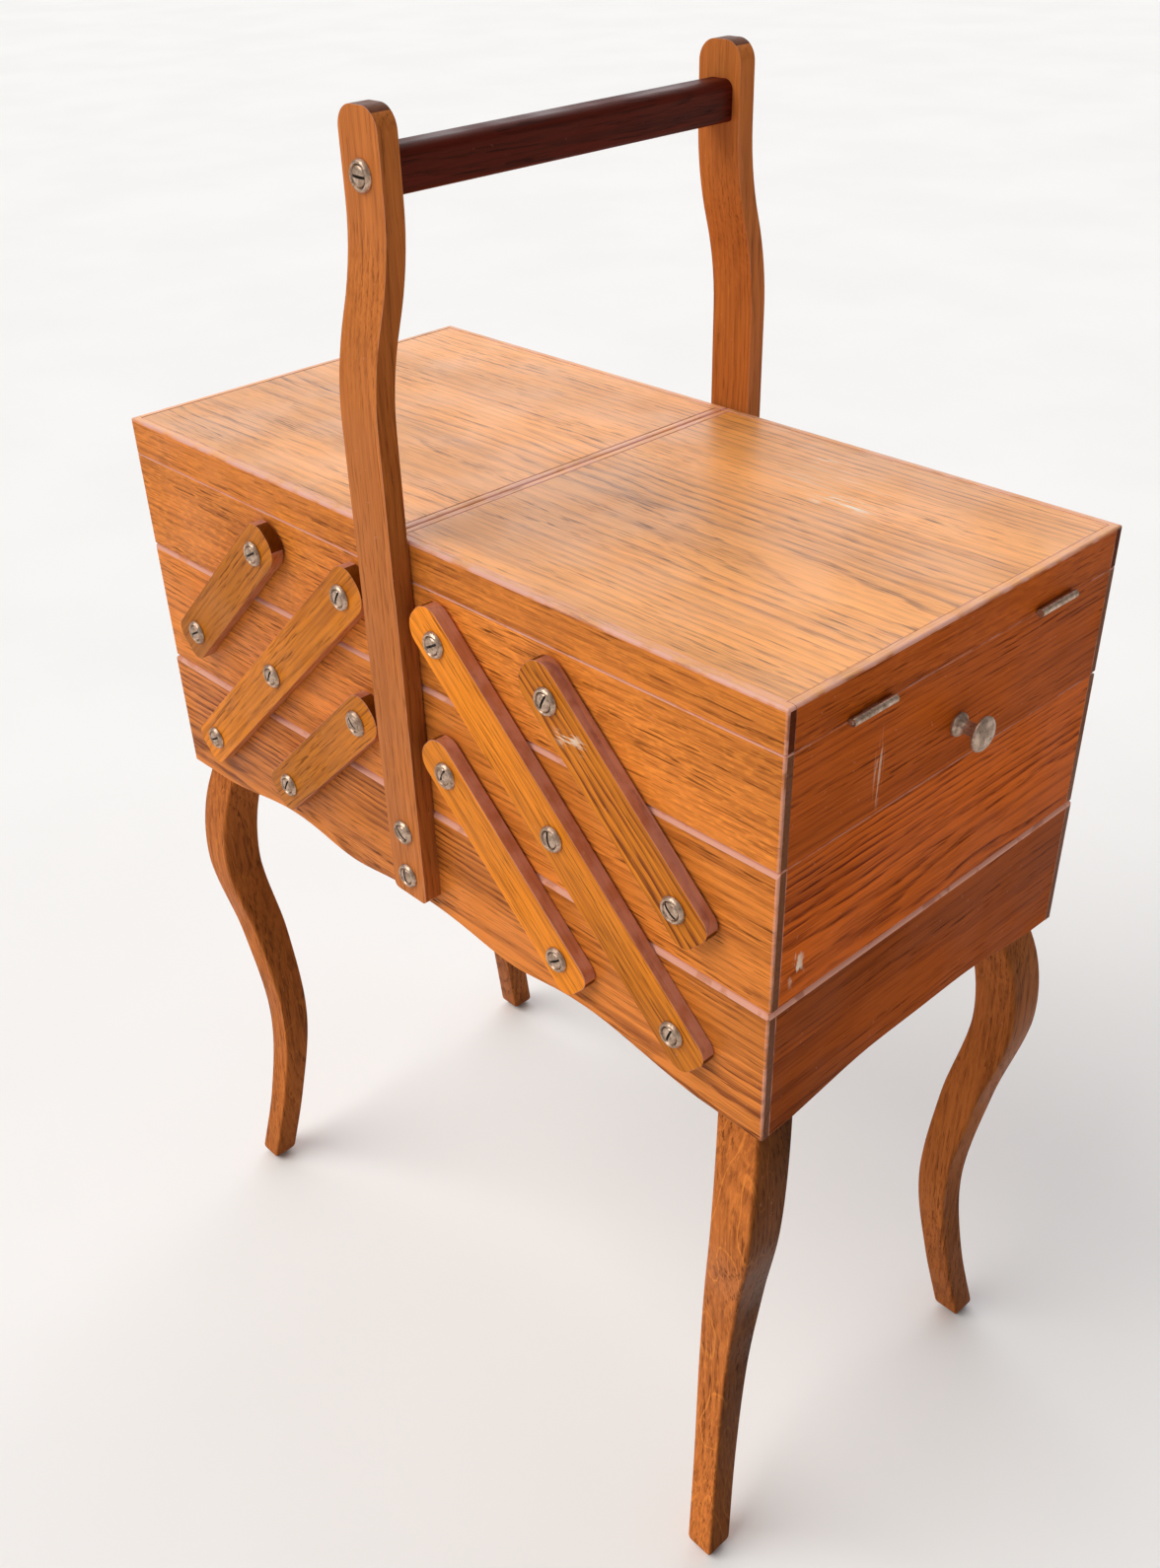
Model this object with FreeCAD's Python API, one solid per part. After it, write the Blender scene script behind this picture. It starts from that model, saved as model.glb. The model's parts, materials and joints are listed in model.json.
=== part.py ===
import FreeCAD, Part
import math
import os
from FreeCAD import Placement, Rotation, Vector

# Cantilever sewing box on cabriole legs, in millimetres.
# +X runs along the box, +Y across it from front to back, +Z up.
# The origin is on the floor, midway between the four feet.
# "Left" is -X and "right" is +X, seen from the front, which is the -Y face.

# ---- Overall sizes
box_length = 430.0
box_width = 212.0
leg_height = 307.0            # floor to the apron's lower corners
base_height = 67.7            # apron's lower corners to the base's rim
mid_tray_height = 66.0
top_tray_height = 48.7
lid_height = 18.1

# ---- Boards
wall = 7.5                    # thickness of every case board
corner_lip = 4.5              # tongue left on the front and back boards at a rebated corner
corner_round = 1.2            # upright corners of each case
floor_thickness = 4.0
floor_groove = 3.0            # how far a floor enters the case boards
floor_lift = 3.0              # underside of a tray's floor above the tray's lower edge
base_floor_lift = 12.0        # underside of the base's floor above the apron's lower corners
panel_thickness = 5.0         # lid panel, let into the rim flush with its top
panel_lip = 4.0               # width of the rim that shows round the lid panel
rim_round = 3.5               # rounded upper edge of the base and the middle trays
lid_round = 1.5
arris_round = 0.6

# ---- Gaps between pieces that move
tier_gap = 0.3                # between stacked cases, and between the left and right cases
tray_inset = 0.9              # trays and lids stand this far inside the base's front and back
arm_gap = 0.4                 # base's face to the arms
washer_gap = 0.15             # arm to its cup washer
pivot_clearance = 0.08        # radial, arm hole over screw shank

# ---- Apron: (share of the half length or half width, rise above the lower corners)
front_apron = ((0.0, 10.5), (0.14, 8.5), (0.29, 5.0), (0.43, 8.6), (0.56, 9.2), (0.70, 4.6), (0.84, 0.6))
end_apron = ((0.0, 6.6), (0.42, 6.0), (0.60, 3.6), (0.82, 0.4))
apron_corner_share = 0.98     # where the serpentine has run out to the corners' level

# ---- Folding arms
inner_column = 33.0           # innermost pivots from the box's middle
outer_column_inset = 44.0     # outermost pivots from the box's end
base_row_drop = 32.7          # base pivots below the base's rim
top_row_lift = 29.7           # top-tray pivots above that tray's lower edge
arm_width = 23.0
arm_thickness = 6.3
arm_overhang = 17.0           # arm beyond its last pivots
arm_upper_round = 10.0
arm_lower_round = 7.0

# ---- Slotted screws and cup washers
shank_radius = 2.0
head_radius = 4.2
head_seat = 1.7               # depth of the countersunk cone
head_dome = 0.7
slot_width = 1.1
slot_depth = 0.9
washer_radius = 6.1
washer_height = 2.0
washer_edge = 0.5
washer_crown = 0.5            # width of the washer's rolled top round the screw's head
washer_shoulder = (5.7, 1.3)  # radius and height where its side turns in
tip_cover = 1.0               # wood left beyond a screw's tip
slot_turn = 37.0              # each screw's slot is turned this much more than the last

# ---- Legs: (share of leg height, outward shift, width)
leg_stations = (
    (0.0, 3.0, 15.6),
    (0.18, -4.4, 15.6),
    (0.39, -8.6, 17.6),
    (0.60, -2.0, 20.6),
    (0.80, 8.0, 23.0),
    (0.93, 5.0, 23.4),
    (1.0, 0.0, 23.4),
)
leg_splay_across = 20.0       # extra outward lean of the feet across the box
leg_screw_length = 32.0
leg_screw_spread = 5.0        # leg screws either side of the leg's middle, along its diagonal

# ---- Handle
upright_width = 24.0
upright_thickness = 9.3
upright_foot_lift = 18.0      # lower ends above the apron's lower corners
handle_rise = 163.6           # uprights' tops above the lids
upright_shift = 13.2          # the ogee moves the uprights in over the box
ogee_lift = 46.6              # start of the ogee above the lids
ogee_rise = 84.0
upright_top_round = 9.0
upright_foot_round = 3.0
upright_screw_lift = 30.0     # lower screw above the apron's lower corners
upright_screw_drop = 12.7     # upper screw below the base's rim
crossbar_width = 16.0
crossbar_height = 17.0
crossbar_drop = 23.5          # middle of the crossbar below the uprights' tops
crossbar_top_round = 4.5
crossbar_lower_round = 2.0
crossbar_screw_bite = 18.0    # screw length inside the crossbar

# ---- Knobs and lid hinges
knob_drop = 31.0              # knob's axis below the top tray's rim
# Flange, neck and mushroom head: (radius, distance from the end board)
knob_profile = (
    (5.0, 0.0),
    (5.0, 1.0),
    (4.0, 1.8),
    (2.9, 3.4),
    (2.9, 7.8),
    (3.9, 9.2),
    (6.8, 10.6),
    (7.5, 11.6),
    (7.1, 12.6),
    (5.3, 13.5),
    (0.0, 14.0),
)
hinge_spacing = 118.0         # middle to middle of the two hinges of one lid
hinge_length = 25.0
knuckle_radius = 1.7
knuckle_stand_off = 1.8       # pin's axis outside the end board
knuckle_gap = 0.15
pin_radius = 0.8
pin_clearance = 0.05
leaf_thickness = 0.8
leaf_margin = 0.5             # wood left inside the leaf on the board's edge
leaf_screw_radius = 0.8
leaf_screw_head = 1.5
leaf_screw_length = 6.0
leaf_screw_spacing = 16.0

# ---- Derived levels
half_length = box_length / 2
half_width = box_width / 2
tray_half_width = half_width - tray_inset
base_bottom = leg_height
base_rim = base_bottom + base_height
mid_bottom = base_rim + tier_gap
mid_rim = mid_bottom + mid_tray_height
top_bottom = mid_rim + tier_gap
top_rim = top_bottom + top_tray_height
lid_bottom = top_rim + tier_gap
lid_top = lid_bottom + lid_height
base_floor_bottom = base_bottom + base_floor_lift
hinge_level = top_rim + tier_gap / 2
hinge_place = half_length + knuckle_stand_off
leaf_reach = wall - leaf_margin

# ---- Derived handle
handle_top = lid_top + handle_rise
upright_foot = base_bottom + upright_foot_lift
ogee_start = lid_top + ogee_lift
upright_screws = (base_bottom + upright_screw_lift, base_rim - upright_screw_drop)

# ---- Derived pivots: three columns and three rows, evenly spaced
outer_column = half_length - outer_column_inset
column_pitch = (outer_column - inner_column) / 2
middle_column = inner_column + column_pitch
base_row = base_rim - base_row_drop
top_row = top_bottom + top_row_lift
mid_row = (base_row + top_row) / 2
arm_seat = arm_gap + arm_thickness + washer_gap

parts = {}


# ---- Shape helpers

def span(a, b):
    """The two ends of a range, lowest first."""
    return min(a, b), max(a, b)


def block(x_range, y_range, z_range):
    """A rectangular solid between the given ranges."""
    (x0, x1), (y0, y1), (z0, z1) = span(*x_range), span(*y_range), span(*z_range)
    return Part.makeBox(x1 - x0, y1 - y0, z1 - z0, Vector(x0, y0, z0))


def on_front_plane(point):
    """A flat (u, v) point set upright in the XZ plane."""
    return Vector(point.x, 0, point.y)


def on_end_plane(point):
    """A flat (u, v) point set upright in the YZ plane."""
    return Vector(0, point.x, point.y)


def on_floor_plane(point):
    """A flat (u, v) point in the XY plane."""
    return Vector(point.x, point.y, 0)


def rounded_outline(corners, plane):
    """A closed wire through (u, v, radius) corners, each rounded by its radius."""
    turns = []
    for index, (u, v, radius) in enumerate(corners):
        here = Vector(u, v, 0)
        to_last = (Vector(*corners[index - 1][:2], 0) - here).normalize()
        to_next = (Vector(*corners[(index + 1) % len(corners)][:2], 0) - here).normalize()
        half_angle = to_last.getAngle(to_next) / 2
        run = radius / math.tan(half_angle)
        bisector = (to_last + to_next).normalize()
        crown = here + bisector * (radius / math.sin(half_angle) - radius)
        turns.append((here + to_last * run, crown, here + to_next * run, radius))
    edges = []
    for index, (start, crown, end, radius) in enumerate(turns):
        if radius > 0:
            edges.append(Part.Arc(plane(start), plane(crown), plane(end)).toShape())
        following = turns[(index + 1) % len(turns)][0]
        if (following - end).Length > 1e-6:
            edges.append(Part.LineSegment(plane(end), plane(following)).toShape())
    return Part.Wire(edges)


def prism(wire, start, travel):
    """The solid swept by a flat wire moved to start and then along travel."""
    face = Part.Face(wire)
    face.translate(start)
    return face.extrude(travel)


def revolved(profile):
    """The solid turned about +Z from a closed (radius, height) profile."""
    points = [Vector(radius, 0, height) for radius, height in profile]
    face = Part.Face(Part.makePolygon(points + points[:1]))
    return face.revolve(Vector(0, 0, 0), Vector(0, 0, 1), 360)


def faced(shape, x, y, z, side, turn=0.0):
    """A shape made along +Z, turned about Z and set to point out of the front (-1) or back (1)."""
    upright = Rotation(Vector(1, 0, 0), -90 * side)
    moved = shape.copy()
    moved.Placement = Placement(Vector(x, y, z), upright.multiply(Rotation(Vector(0, 0, 1), turn)))
    return moved


# ---- Cases: base, trays and lid rims share one construction

def case_envelope(x_range, half_depth, z_range, long_round, low_end_round, high_end_round):
    """The outer form of a case, with its upper edges and its upright corners rounded."""
    x0, x1 = x_range
    z0, z1 = z_range
    length_profile = rounded_outline(
        [(x0, z0, 0), (x1, z0, 0), (x1, z1, high_end_round), (x0, z1, low_end_round)], on_front_plane)
    width_profile = rounded_outline(
        [(-half_depth, z0, 0), (half_depth, z0, 0), (half_depth, z1, long_round),
         (-half_depth, z1, long_round)], on_end_plane)
    plan = rounded_outline(
        [(x0, -half_depth, corner_round), (x1, -half_depth, corner_round),
         (x1, half_depth, corner_round), (x0, half_depth, corner_round)], on_floor_plane)
    along_y = prism(length_profile, Vector(0, -half_depth, 0), Vector(0, 2 * half_depth, 0))
    along_x = prism(width_profile, Vector(x0, 0, 0), Vector(x1 - x0, 0, 0))
    along_z = prism(plan, Vector(0, 0, z0), Vector(0, 0, z1 - z0))
    return along_y.common(along_x).common(along_z)


def case_boards(x_range, half_depth, z_range, inlay, rounds):
    """Front, back, low-X and high-X boards with rebated corners, housed round an inlaid panel."""
    x0, x1 = x_range
    envelope = case_envelope(x_range, half_depth, z_range, *rounds)
    boards = {}
    for name, side in (("front", -1), ("back", 1)):
        inner = side * (half_depth - wall)
        board = block(x_range, (side * half_depth, inner), z_range)
        for end in ((x0, x0 + wall), (x1 - wall, x1)):
            board = board.cut(block(end, (side * (half_depth - corner_lip), inner), z_range))
        boards[name] = board
    end_half_depth = half_depth - corner_lip
    boards["low"] = block((x0, x0 + wall), (-end_half_depth, end_half_depth), z_range)
    boards["high"] = block((x1 - wall, x1), (-end_half_depth, end_half_depth), z_range)
    return {name: board.common(envelope).cut(inlay) for name, board in boards.items()}


def housed_panel(x_range, half_depth, inset, z_range):
    """A panel whose edges stop short of the case's outside by inset."""
    reach = half_depth - inset
    return block((x_range[0] + inset, x_range[1] - inset), (-reach, reach), z_range)


def side_range(side):
    """The X range of the left (-1) or right (1) cases."""
    return span(side * tier_gap / 2, side * half_length)


def outer_rounds(side, long_round, outer_round, inner_round):
    """Edge roundings in the order that case_envelope takes them."""
    if side > 0:
        return long_round, inner_round, outer_round
    return long_round, outer_round, inner_round


# ---- Apron: the base's lower edge is cut to a shallow serpentine

def apron_cutter(stations, half_span, plane, reach):
    """The space under a symmetrical serpentine edge."""
    right = [Vector(share * half_span, base_bottom + rise, 0) for share, rise in stations]
    left = [Vector(-point.x, point.y, 0) for point in reversed(right[1:])]
    edge = [plane(point) for point in left + right]
    curve = Part.BSplineCurve()
    curve.interpolate(edge)
    corner = half_span * apron_corner_share
    below = base_bottom - 1
    low_left = plane(Vector(-corner, below, 0))
    low_right = plane(Vector(corner, below, 0))
    high_left = plane(Vector(-corner, base_bottom, 0))
    high_right = plane(Vector(corner, base_bottom, 0))
    outline = [
        Part.LineSegment(low_left, high_left).toShape(),
        Part.LineSegment(high_left, edge[0]).toShape(),
        curve.toShape(),
        Part.LineSegment(edge[-1], high_right).toShape(),
        Part.LineSegment(high_right, low_right).toShape(),
        Part.LineSegment(low_right, low_left).toShape(),
    ]
    return prism(Part.Wire(outline), reach * -1, reach * 2)


# ---- Screws

def slotted_screw(length):
    """A raised countersunk wood screw: its head's cone starts at the origin, its tip points down."""
    crown = head_seat + head_dome
    dome_radius = (head_radius ** 2 + head_dome ** 2) / (2 * head_dome)
    mid_angle = math.asin(head_radius / dome_radius) / 2
    dome_mid = Vector(dome_radius * math.sin(mid_angle), 0, crown - dome_radius * (1 - math.cos(mid_angle)))
    top = Vector(0, 0, crown)
    rim = Vector(head_radius, 0, head_seat)
    stops = (top, Vector(0, 0, -length), Vector(shank_radius, 0, shank_radius - length),
             Vector(shank_radius, 0, 0), rim)
    outline = [Part.LineSegment(start, end).toShape() for start, end in zip(stops, stops[1:])]
    outline.append(Part.Arc(rim, dome_mid, top).toShape())
    turned = Part.Face(Part.Wire(outline)).revolve(Vector(0, 0, 0), Vector(0, 0, 1), 360)
    slot = block((-head_radius - 1, head_radius + 1), (-slot_width / 2, slot_width / 2),
                 (crown - slot_depth, crown + 1))
    return turned.cut(slot)


def cup_washer():
    """A pressed cup washer that stands on the wood and takes the screw head's cone."""
    return revolved([
        (shank_radius, 0.0),
        (washer_radius, 0.0),
        (washer_radius, washer_edge),
        washer_shoulder,
        (head_radius + washer_crown, washer_height),
        (head_radius, head_seat),
    ])


def face_screw(x, z, side, seat, length, number):
    """A screw and its cup washer on the front or back, seated at a distance from the base's face."""
    y = side * (half_width + seat)
    turn = number * slot_turn
    return [faced(slotted_screw(length), x, y, z, side, turn), faced(cup_washer(), x, y, z, side)]


def pivot_screws(pivots, first):
    """Pivot screws through the arms at (x, z), on the front and the back."""
    length = arm_seat + wall - tip_cover
    screws = []
    for side in (-1, 1):
        for x, z in pivots:
            screws += face_screw(x, z, side, arm_seat, length, first + len(screws))
    return screws


def without(shape, cutters):
    """A shape less all the cutters that reach it."""
    for cutter in cutters:
        if shape.BoundBox.intersect(cutter.BoundBox):
            shape = shape.cut(cutter)
    return shape


# ---- Base

def make_leg(side_x, side_y):
    """A square cabriole leg, sawn to the same curve from two faces; it stands inside the corner."""
    def sawn(side, half_span, splay, plane):
        centre = half_span - wall - leg_stations[-1][2] / 2
        outer, inner = [], []
        for share, shift, width in leg_stations:
            middle = centre + shift + splay * (1 - share)
            outer.append(plane(Vector(side * (middle + width / 2), share * leg_height, 0)))
            inner.append(plane(Vector(side * (middle - width / 2), share * leg_height, 0)))
        stub = Vector(0, 0, base_floor_bottom - leg_height)
        curves = []
        for points in (outer, inner):
            curve = Part.BSplineCurve()
            curve.interpolate(points)
            curves.append(curve.toShape())
        joins = (
            (outer[-1], outer[-1] + stub),
            (outer[-1] + stub, inner[-1] + stub),
            (inner[-1] + stub, inner[-1]),
            (inner[0], outer[0]),
        )
        lines = [Part.LineSegment(start, end).toShape() for start, end in joins]
        return Part.Wire(Part.sortEdges(curves + lines)[0])

    across = sawn(side_x, half_length, 0.0, on_front_plane)
    along = sawn(side_y, half_width, leg_splay_across, on_end_plane)
    first = prism(across, Vector(0, 0, 0), Vector(0, side_y * box_width, 0))
    second = prism(along, Vector(0, 0, 0), Vector(side_x * box_length, 0, 0))
    return first.common(second)


def leg_screws():
    """Two countersunk screws down through the base's floor into each leg."""
    inset = wall + leg_stations[-1][2] / 2
    level = base_floor_bottom + floor_thickness - head_seat - head_dome
    screws = []
    for side_x in (-1, 1):
        for side_y in (-1, 1):
            for offset in (-leg_screw_spread, leg_screw_spread):
                screw = slotted_screw(leg_screw_length)
                x = side_x * (half_length - inset + offset)
                y = side_y * (half_width - inset + offset)
                turn = Rotation(Vector(0, 0, 1), len(screws) * slot_turn)
                screw.Placement = Placement(Vector(x, y, level), turn)
                screws.append(screw)
    return screws


def make_upright(side):
    """A handle upright: flat on the base's face, then an ogee in over the lids."""
    start = half_width + upright_thickness / 2
    radius = (ogee_rise ** 2 + upright_shift ** 2) / (4 * upright_shift)
    sweep = math.asin(ogee_rise / (2 * radius))
    ogee_end = ogee_start + ogee_rise

    def face_line(offset):
        """One long edge of the profile, offset outward from its middle."""
        lower = radius + offset
        upper = radius - offset
        lower_centre = Vector(start - radius, ogee_start, 0)
        upper_centre = Vector(start - upright_shift + radius, ogee_end, 0)

        def on_lower(angle):
            return lower_centre + Vector(lower * math.cos(angle), lower * math.sin(angle), 0)

        def on_upper(angle):
            return upper_centre - Vector(upper * math.cos(angle), upper * math.sin(angle), 0)

        foot = Vector(start + offset, upright_foot, 0)
        head = Vector(start - upright_shift + offset, handle_top, 0)
        stops = (foot, on_lower(0), on_lower(sweep / 2), on_lower(sweep),
                 on_upper(sweep / 2), on_upper(0), head)
        foot, bend, mid_lower, turn, mid_upper, end, head = [
            on_end_plane(Vector(side * stop.x, stop.y, 0)) for stop in stops]
        edges = [
            Part.LineSegment(foot, bend).toShape(),
            Part.Arc(bend, mid_lower, turn).toShape(),
            Part.Arc(turn, mid_upper, end).toShape(),
            Part.LineSegment(end, head).toShape(),
        ]
        return edges, foot, head

    outer, outer_foot, outer_head = face_line(upright_thickness / 2)
    inner, inner_foot, inner_head = face_line(-upright_thickness / 2)
    caps = [
        Part.LineSegment(outer_head, inner_head).toShape(),
        Part.LineSegment(inner_foot, outer_foot).toShape(),
    ]
    profile = Part.Wire(Part.sortEdges(outer + inner + caps)[0])
    half = upright_width / 2
    bent = prism(profile, Vector(-half, 0, 0), Vector(upright_width, 0, 0))
    ends = rounded_outline(
        [(-half, upright_foot, upright_foot_round), (half, upright_foot, upright_foot_round),
         (half, handle_top, upright_top_round), (-half, handle_top, upright_top_round)], on_front_plane)
    return bent.common(prism(ends, Vector(0, 0, 0), Vector(0, side * box_width, 0)))


def make_crossbar():
    """The grip, between the uprights' inner faces."""
    reach = half_width - upright_shift
    middle = handle_top - crossbar_drop
    half = crossbar_width / 2
    low = middle - crossbar_height / 2
    high = middle + crossbar_height / 2
    section = rounded_outline(
        [(-half, low, crossbar_lower_round), (half, low, crossbar_lower_round),
         (half, high, crossbar_top_round), (-half, high, crossbar_top_round)], on_front_plane)
    return prism(section, Vector(0, -reach, 0), Vector(0, 2 * reach, 0))


def base_screw_set():
    """Screws in the base: the arms' lowest pivots and the handle's fixings, front and back."""
    pivots = [(sign * column, base_row) for sign in (-1, 1) for column in (middle_column, outer_column)]
    screws = pivot_screws(pivots, 0)
    fixing = upright_thickness + wall - tip_cover
    crossbar_seat = upright_thickness - upright_shift
    for side in (-1, 1):
        for level in upright_screws:
            screws += face_screw(0, level, side, upright_thickness, fixing, len(screws))
        screws += face_screw(0, handle_top - crossbar_drop, side, crossbar_seat,
                             upright_thickness + crossbar_screw_bite, len(screws))
    return screws


def make_base():
    """The base case, its floor, the legs, the handle and all their screws."""
    x_range = (-half_length, half_length)
    z_range = (base_bottom, base_rim)
    floor = housed_panel(x_range, half_width, wall - floor_groove,
                         (base_floor_bottom, base_floor_bottom + floor_thickness))
    boards = case_boards(x_range, half_width, z_range, floor, (rim_round, rim_round, rim_round))
    front_cut = apron_cutter(front_apron, half_length, on_front_plane, Vector(0, box_width, 0))
    end_cut = apron_cutter(end_apron, half_width, on_end_plane, Vector(box_length, 0, 0))
    screws = base_screw_set()
    down_screws = leg_screws()
    parts["base_front_panel"] = without(boards["front"].cut(front_cut), screws)
    parts["base_back_panel"] = without(boards["back"].cut(front_cut), screws)
    parts["base_left_end"] = boards["low"].cut(end_cut)
    parts["base_right_end"] = boards["high"].cut(end_cut)
    parts["base_floor"] = without(floor, down_screws)
    for row, side_y in (("front", -1), ("back", 1)):
        for hand, side_x in (("left", -1), ("right", 1)):
            parts[f"leg_{row}_{hand}"] = without(make_leg(side_x, side_y), down_screws)
        parts[f"handle_upright_{row}"] = without(make_upright(side_y), screws)
    parts["handle_crossbar"] = without(make_crossbar(), screws)
    parts["base_screws"] = Part.makeCompound(screws)
    parts["leg_screws"] = Part.makeCompound(down_screws)


# ---- Folding arms

def make_arm(lower, upper, holes, side_y):
    """A flat arm from one pivot to another, with a clearance hole at each pivot it turns on."""
    start = Vector(lower[0], lower[1], 0)
    along = Vector(upper[0] - lower[0], upper[1] - lower[1], 0)
    reach = along.Length
    along.normalize()
    across = Vector(-along.y, along.x, 0) * (arm_width / 2)
    foot = start - along * arm_overhang
    head = start + along * (reach + arm_overhang)
    corners = [(foot - across, arm_lower_round), (head - across, arm_upper_round),
               (head + across, arm_upper_round), (foot + across, arm_lower_round)]
    outline = rounded_outline([(point.x, point.y, radius) for point, radius in corners], on_front_plane)
    inner_face = side_y * (half_width + arm_gap)
    arm = prism(outline, Vector(0, inner_face, 0), Vector(0, side_y * arm_thickness, 0))
    for x, z in holes:
        hole = Part.makeCylinder(shank_radius + pivot_clearance, arm_thickness * 3,
                                 Vector(x, inner_face - side_y * arm_thickness, z), Vector(0, side_y, 0))
        arm = arm.cut(hole)
    return arm


def make_arms(hand, side):
    """The long, inner and outer arms of one side, front and back."""
    low_outer = (side * outer_column, base_row)
    low_middle = (side * middle_column, base_row)
    mid_outer = (side * outer_column, mid_row)
    mid_middle = (side * middle_column, mid_row)
    mid_inner = (side * inner_column, mid_row)
    high_middle = (side * middle_column, top_row)
    high_inner = (side * inner_column, top_row)
    for row, side_y in (("front", -1), ("back", 1)):
        parts[f"{hand}_long_arm_{row}"] = make_arm(
            low_outer, high_inner, (low_outer, mid_middle, high_inner), side_y)
        parts[f"{hand}_inner_arm_{row}"] = make_arm(low_middle, mid_inner, (low_middle, mid_inner), side_y)
        parts[f"{hand}_outer_arm_{row}"] = make_arm(mid_outer, high_middle, (mid_outer, high_middle), side_y)


# ---- Trays

def make_tray(name, side, z_range, pivots, rounds, outer_end_cutters):
    """One tray: four boards, a housed floor and the pivot screws that hold it to its arms."""
    x_range = side_range(side)
    floor_bottom = z_range[0] + floor_lift
    floor = housed_panel(x_range, tray_half_width, wall - floor_groove,
                         (floor_bottom, floor_bottom + floor_thickness))
    boards = case_boards(x_range, tray_half_width, z_range, floor, rounds)
    screws = pivot_screws(pivots, 3)
    outer, inner = ("high", "low") if side > 0 else ("low", "high")
    parts[f"{name}_front"] = without(boards["front"], screws)
    parts[f"{name}_back"] = without(boards["back"], screws)
    parts[f"{name}_inner_end"] = boards[inner]
    parts[f"{name}_outer_end"] = without(boards[outer], outer_end_cutters)
    parts[f"{name}_floor"] = floor
    parts[f"{name}_screws"] = Part.makeCompound(screws)


def make_knob(side):
    """A turned metal knob on the outer end of a top tray, with its stud through the board."""
    stud = [(0.0, tip_cover - wall), (shank_radius, tip_cover - wall), (shank_radius, 0.0)]
    knob = revolved(stud + list(knob_profile))
    knob.Placement = Placement(Vector(side * half_length, 0, top_rim - knob_drop),
                               Rotation(Vector(0, 1, 0), 90 * side))
    return knob


# ---- Hinges

def leaf_screw(x, y, level, side_z):
    """A small countersunk screw, its flat head flush with a leaf and its tip up (1) or down (-1)."""
    profile = [
        (0.0, 0.0),
        (leaf_screw_head, 0.0),
        (leaf_screw_radius, leaf_thickness),
        (leaf_screw_radius, leaf_screw_length - leaf_screw_radius),
        (0.0, leaf_screw_length),
    ]
    screw = revolved(profile)
    screw.Placement = Placement(Vector(x, y, level), Rotation(Vector(1, 0, 0), 0 if side_z > 0 else 180))
    return screw


def hinge_leaf(side, middle, side_z):
    """One leaf with its knuckles: the tray's leaf (-1) has the outer two, the lid's (1) the middle one."""
    near = hinge_level + side_z * tier_gap / 2
    far = near + side_z * leaf_thickness
    face = side * (half_length - pin_clearance)
    third = hinge_length / 3
    spans = [(-third / 2 + knuckle_gap, third / 2 - knuckle_gap)]
    if side_z < 0:
        spans = [(-hinge_length / 2, -third / 2), (third / 2, hinge_length / 2)]
    leaf = block((side * (half_length - leaf_reach), face),
                 (middle - hinge_length / 2, middle + hinge_length / 2), (near, far))
    bore = pin_radius + (pin_clearance if side_z > 0 else 0.0)
    for start, end in spans:
        tab = block((face, side * hinge_place), (middle + start, middle + end), (near, far))
        knuckle = Part.makeCylinder(knuckle_radius, end - start,
                                    Vector(side * hinge_place, middle + start, hinge_level), Vector(0, 1, 0))
        leaf = leaf.fuse(tab).fuse(knuckle)
    hole = Part.makeCylinder(bore, hinge_length + 2,
                             Vector(side * hinge_place, middle - hinge_length / 2 - 1, hinge_level),
                             Vector(0, 1, 0))
    return leaf.cut(hole).removeSplitter()


def hinge_set(side, side_z):
    """The leaves of one side's two hinges with their screws, and the pins with the tray's leaves."""
    pieces = []
    screws = []
    near = hinge_level + side_z * tier_gap / 2
    for sign in (-1, 1):
        middle = sign * hinge_spacing / 2
        leaf = hinge_leaf(side, middle, side_z)
        for offset in (-leaf_screw_spacing / 2, leaf_screw_spacing / 2):
            screw = leaf_screw(side * (half_length - leaf_reach / 2), middle + offset, near, side_z)
            leaf = leaf.cut(screw)
            screws.append(screw)
        pieces.append(leaf)
        if side_z < 0:
            pieces.append(Part.makeCylinder(
                pin_radius, hinge_length,
                Vector(side * hinge_place, middle - hinge_length / 2, hinge_level), Vector(0, 1, 0)))
    return pieces + screws


# ---- Lids

def make_lid(hand, side):
    """A lid: four rebated rim boards round a flush panel, with its hinge leaves on the outer end."""
    x_range = side_range(side)
    z_range = (lid_bottom, lid_top)
    panel = housed_panel(x_range, tray_half_width, panel_lip, (lid_top - panel_thickness, lid_top))
    boards = case_boards(x_range, tray_half_width, z_range, panel, (lid_round, lid_round, lid_round))
    hinges = hinge_set(side, 1)
    outer = "high" if side > 0 else "low"
    boards[outer] = without(boards[outer], hinges)
    parts[f"{hand}_lid_panel"] = panel
    parts[f"{hand}_lid_rim"] = Part.makeCompound(list(boards.values()))
    parts[f"{hand}_lid_hinge_leaves"] = Part.makeCompound(hinges)


def make_side(hand, side):
    """Everything that folds out to one side: arms, two trays, the knob, the hinges and the lid."""
    make_arms(hand, side)
    mid_pivots = [(side * column, mid_row) for column in (inner_column, middle_column, outer_column)]
    make_tray(f"{hand}_mid_tray", side, (mid_bottom, mid_rim), mid_pivots,
              outer_rounds(side, rim_round, arris_round, arris_round), [])
    knob = make_knob(side)
    hinges = hinge_set(side, -1)
    top_pivots = [(side * column, top_row) for column in (inner_column, middle_column)]
    make_tray(f"{hand}_top_tray", side, (top_bottom, top_rim), top_pivots,
              outer_rounds(side, arris_round, arris_round, arris_round), hinges + [knob])
    parts[f"{hand}_knob"] = knob
    parts[f"{hand}_tray_hinge_leaves"] = Part.makeCompound(hinges)
    make_lid(hand, side)


make_base()
make_side("left", -1)
make_side("right", 1)

os.makedirs("parts", exist_ok=True)
for name, shape in parts.items():
    shape.exportStep(os.path.join("parts", name + ".step"))
print(len(parts), "parts")
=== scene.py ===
import json
import math

import bmesh
import bpy
from mathutils import Matrix, Vector


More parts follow.
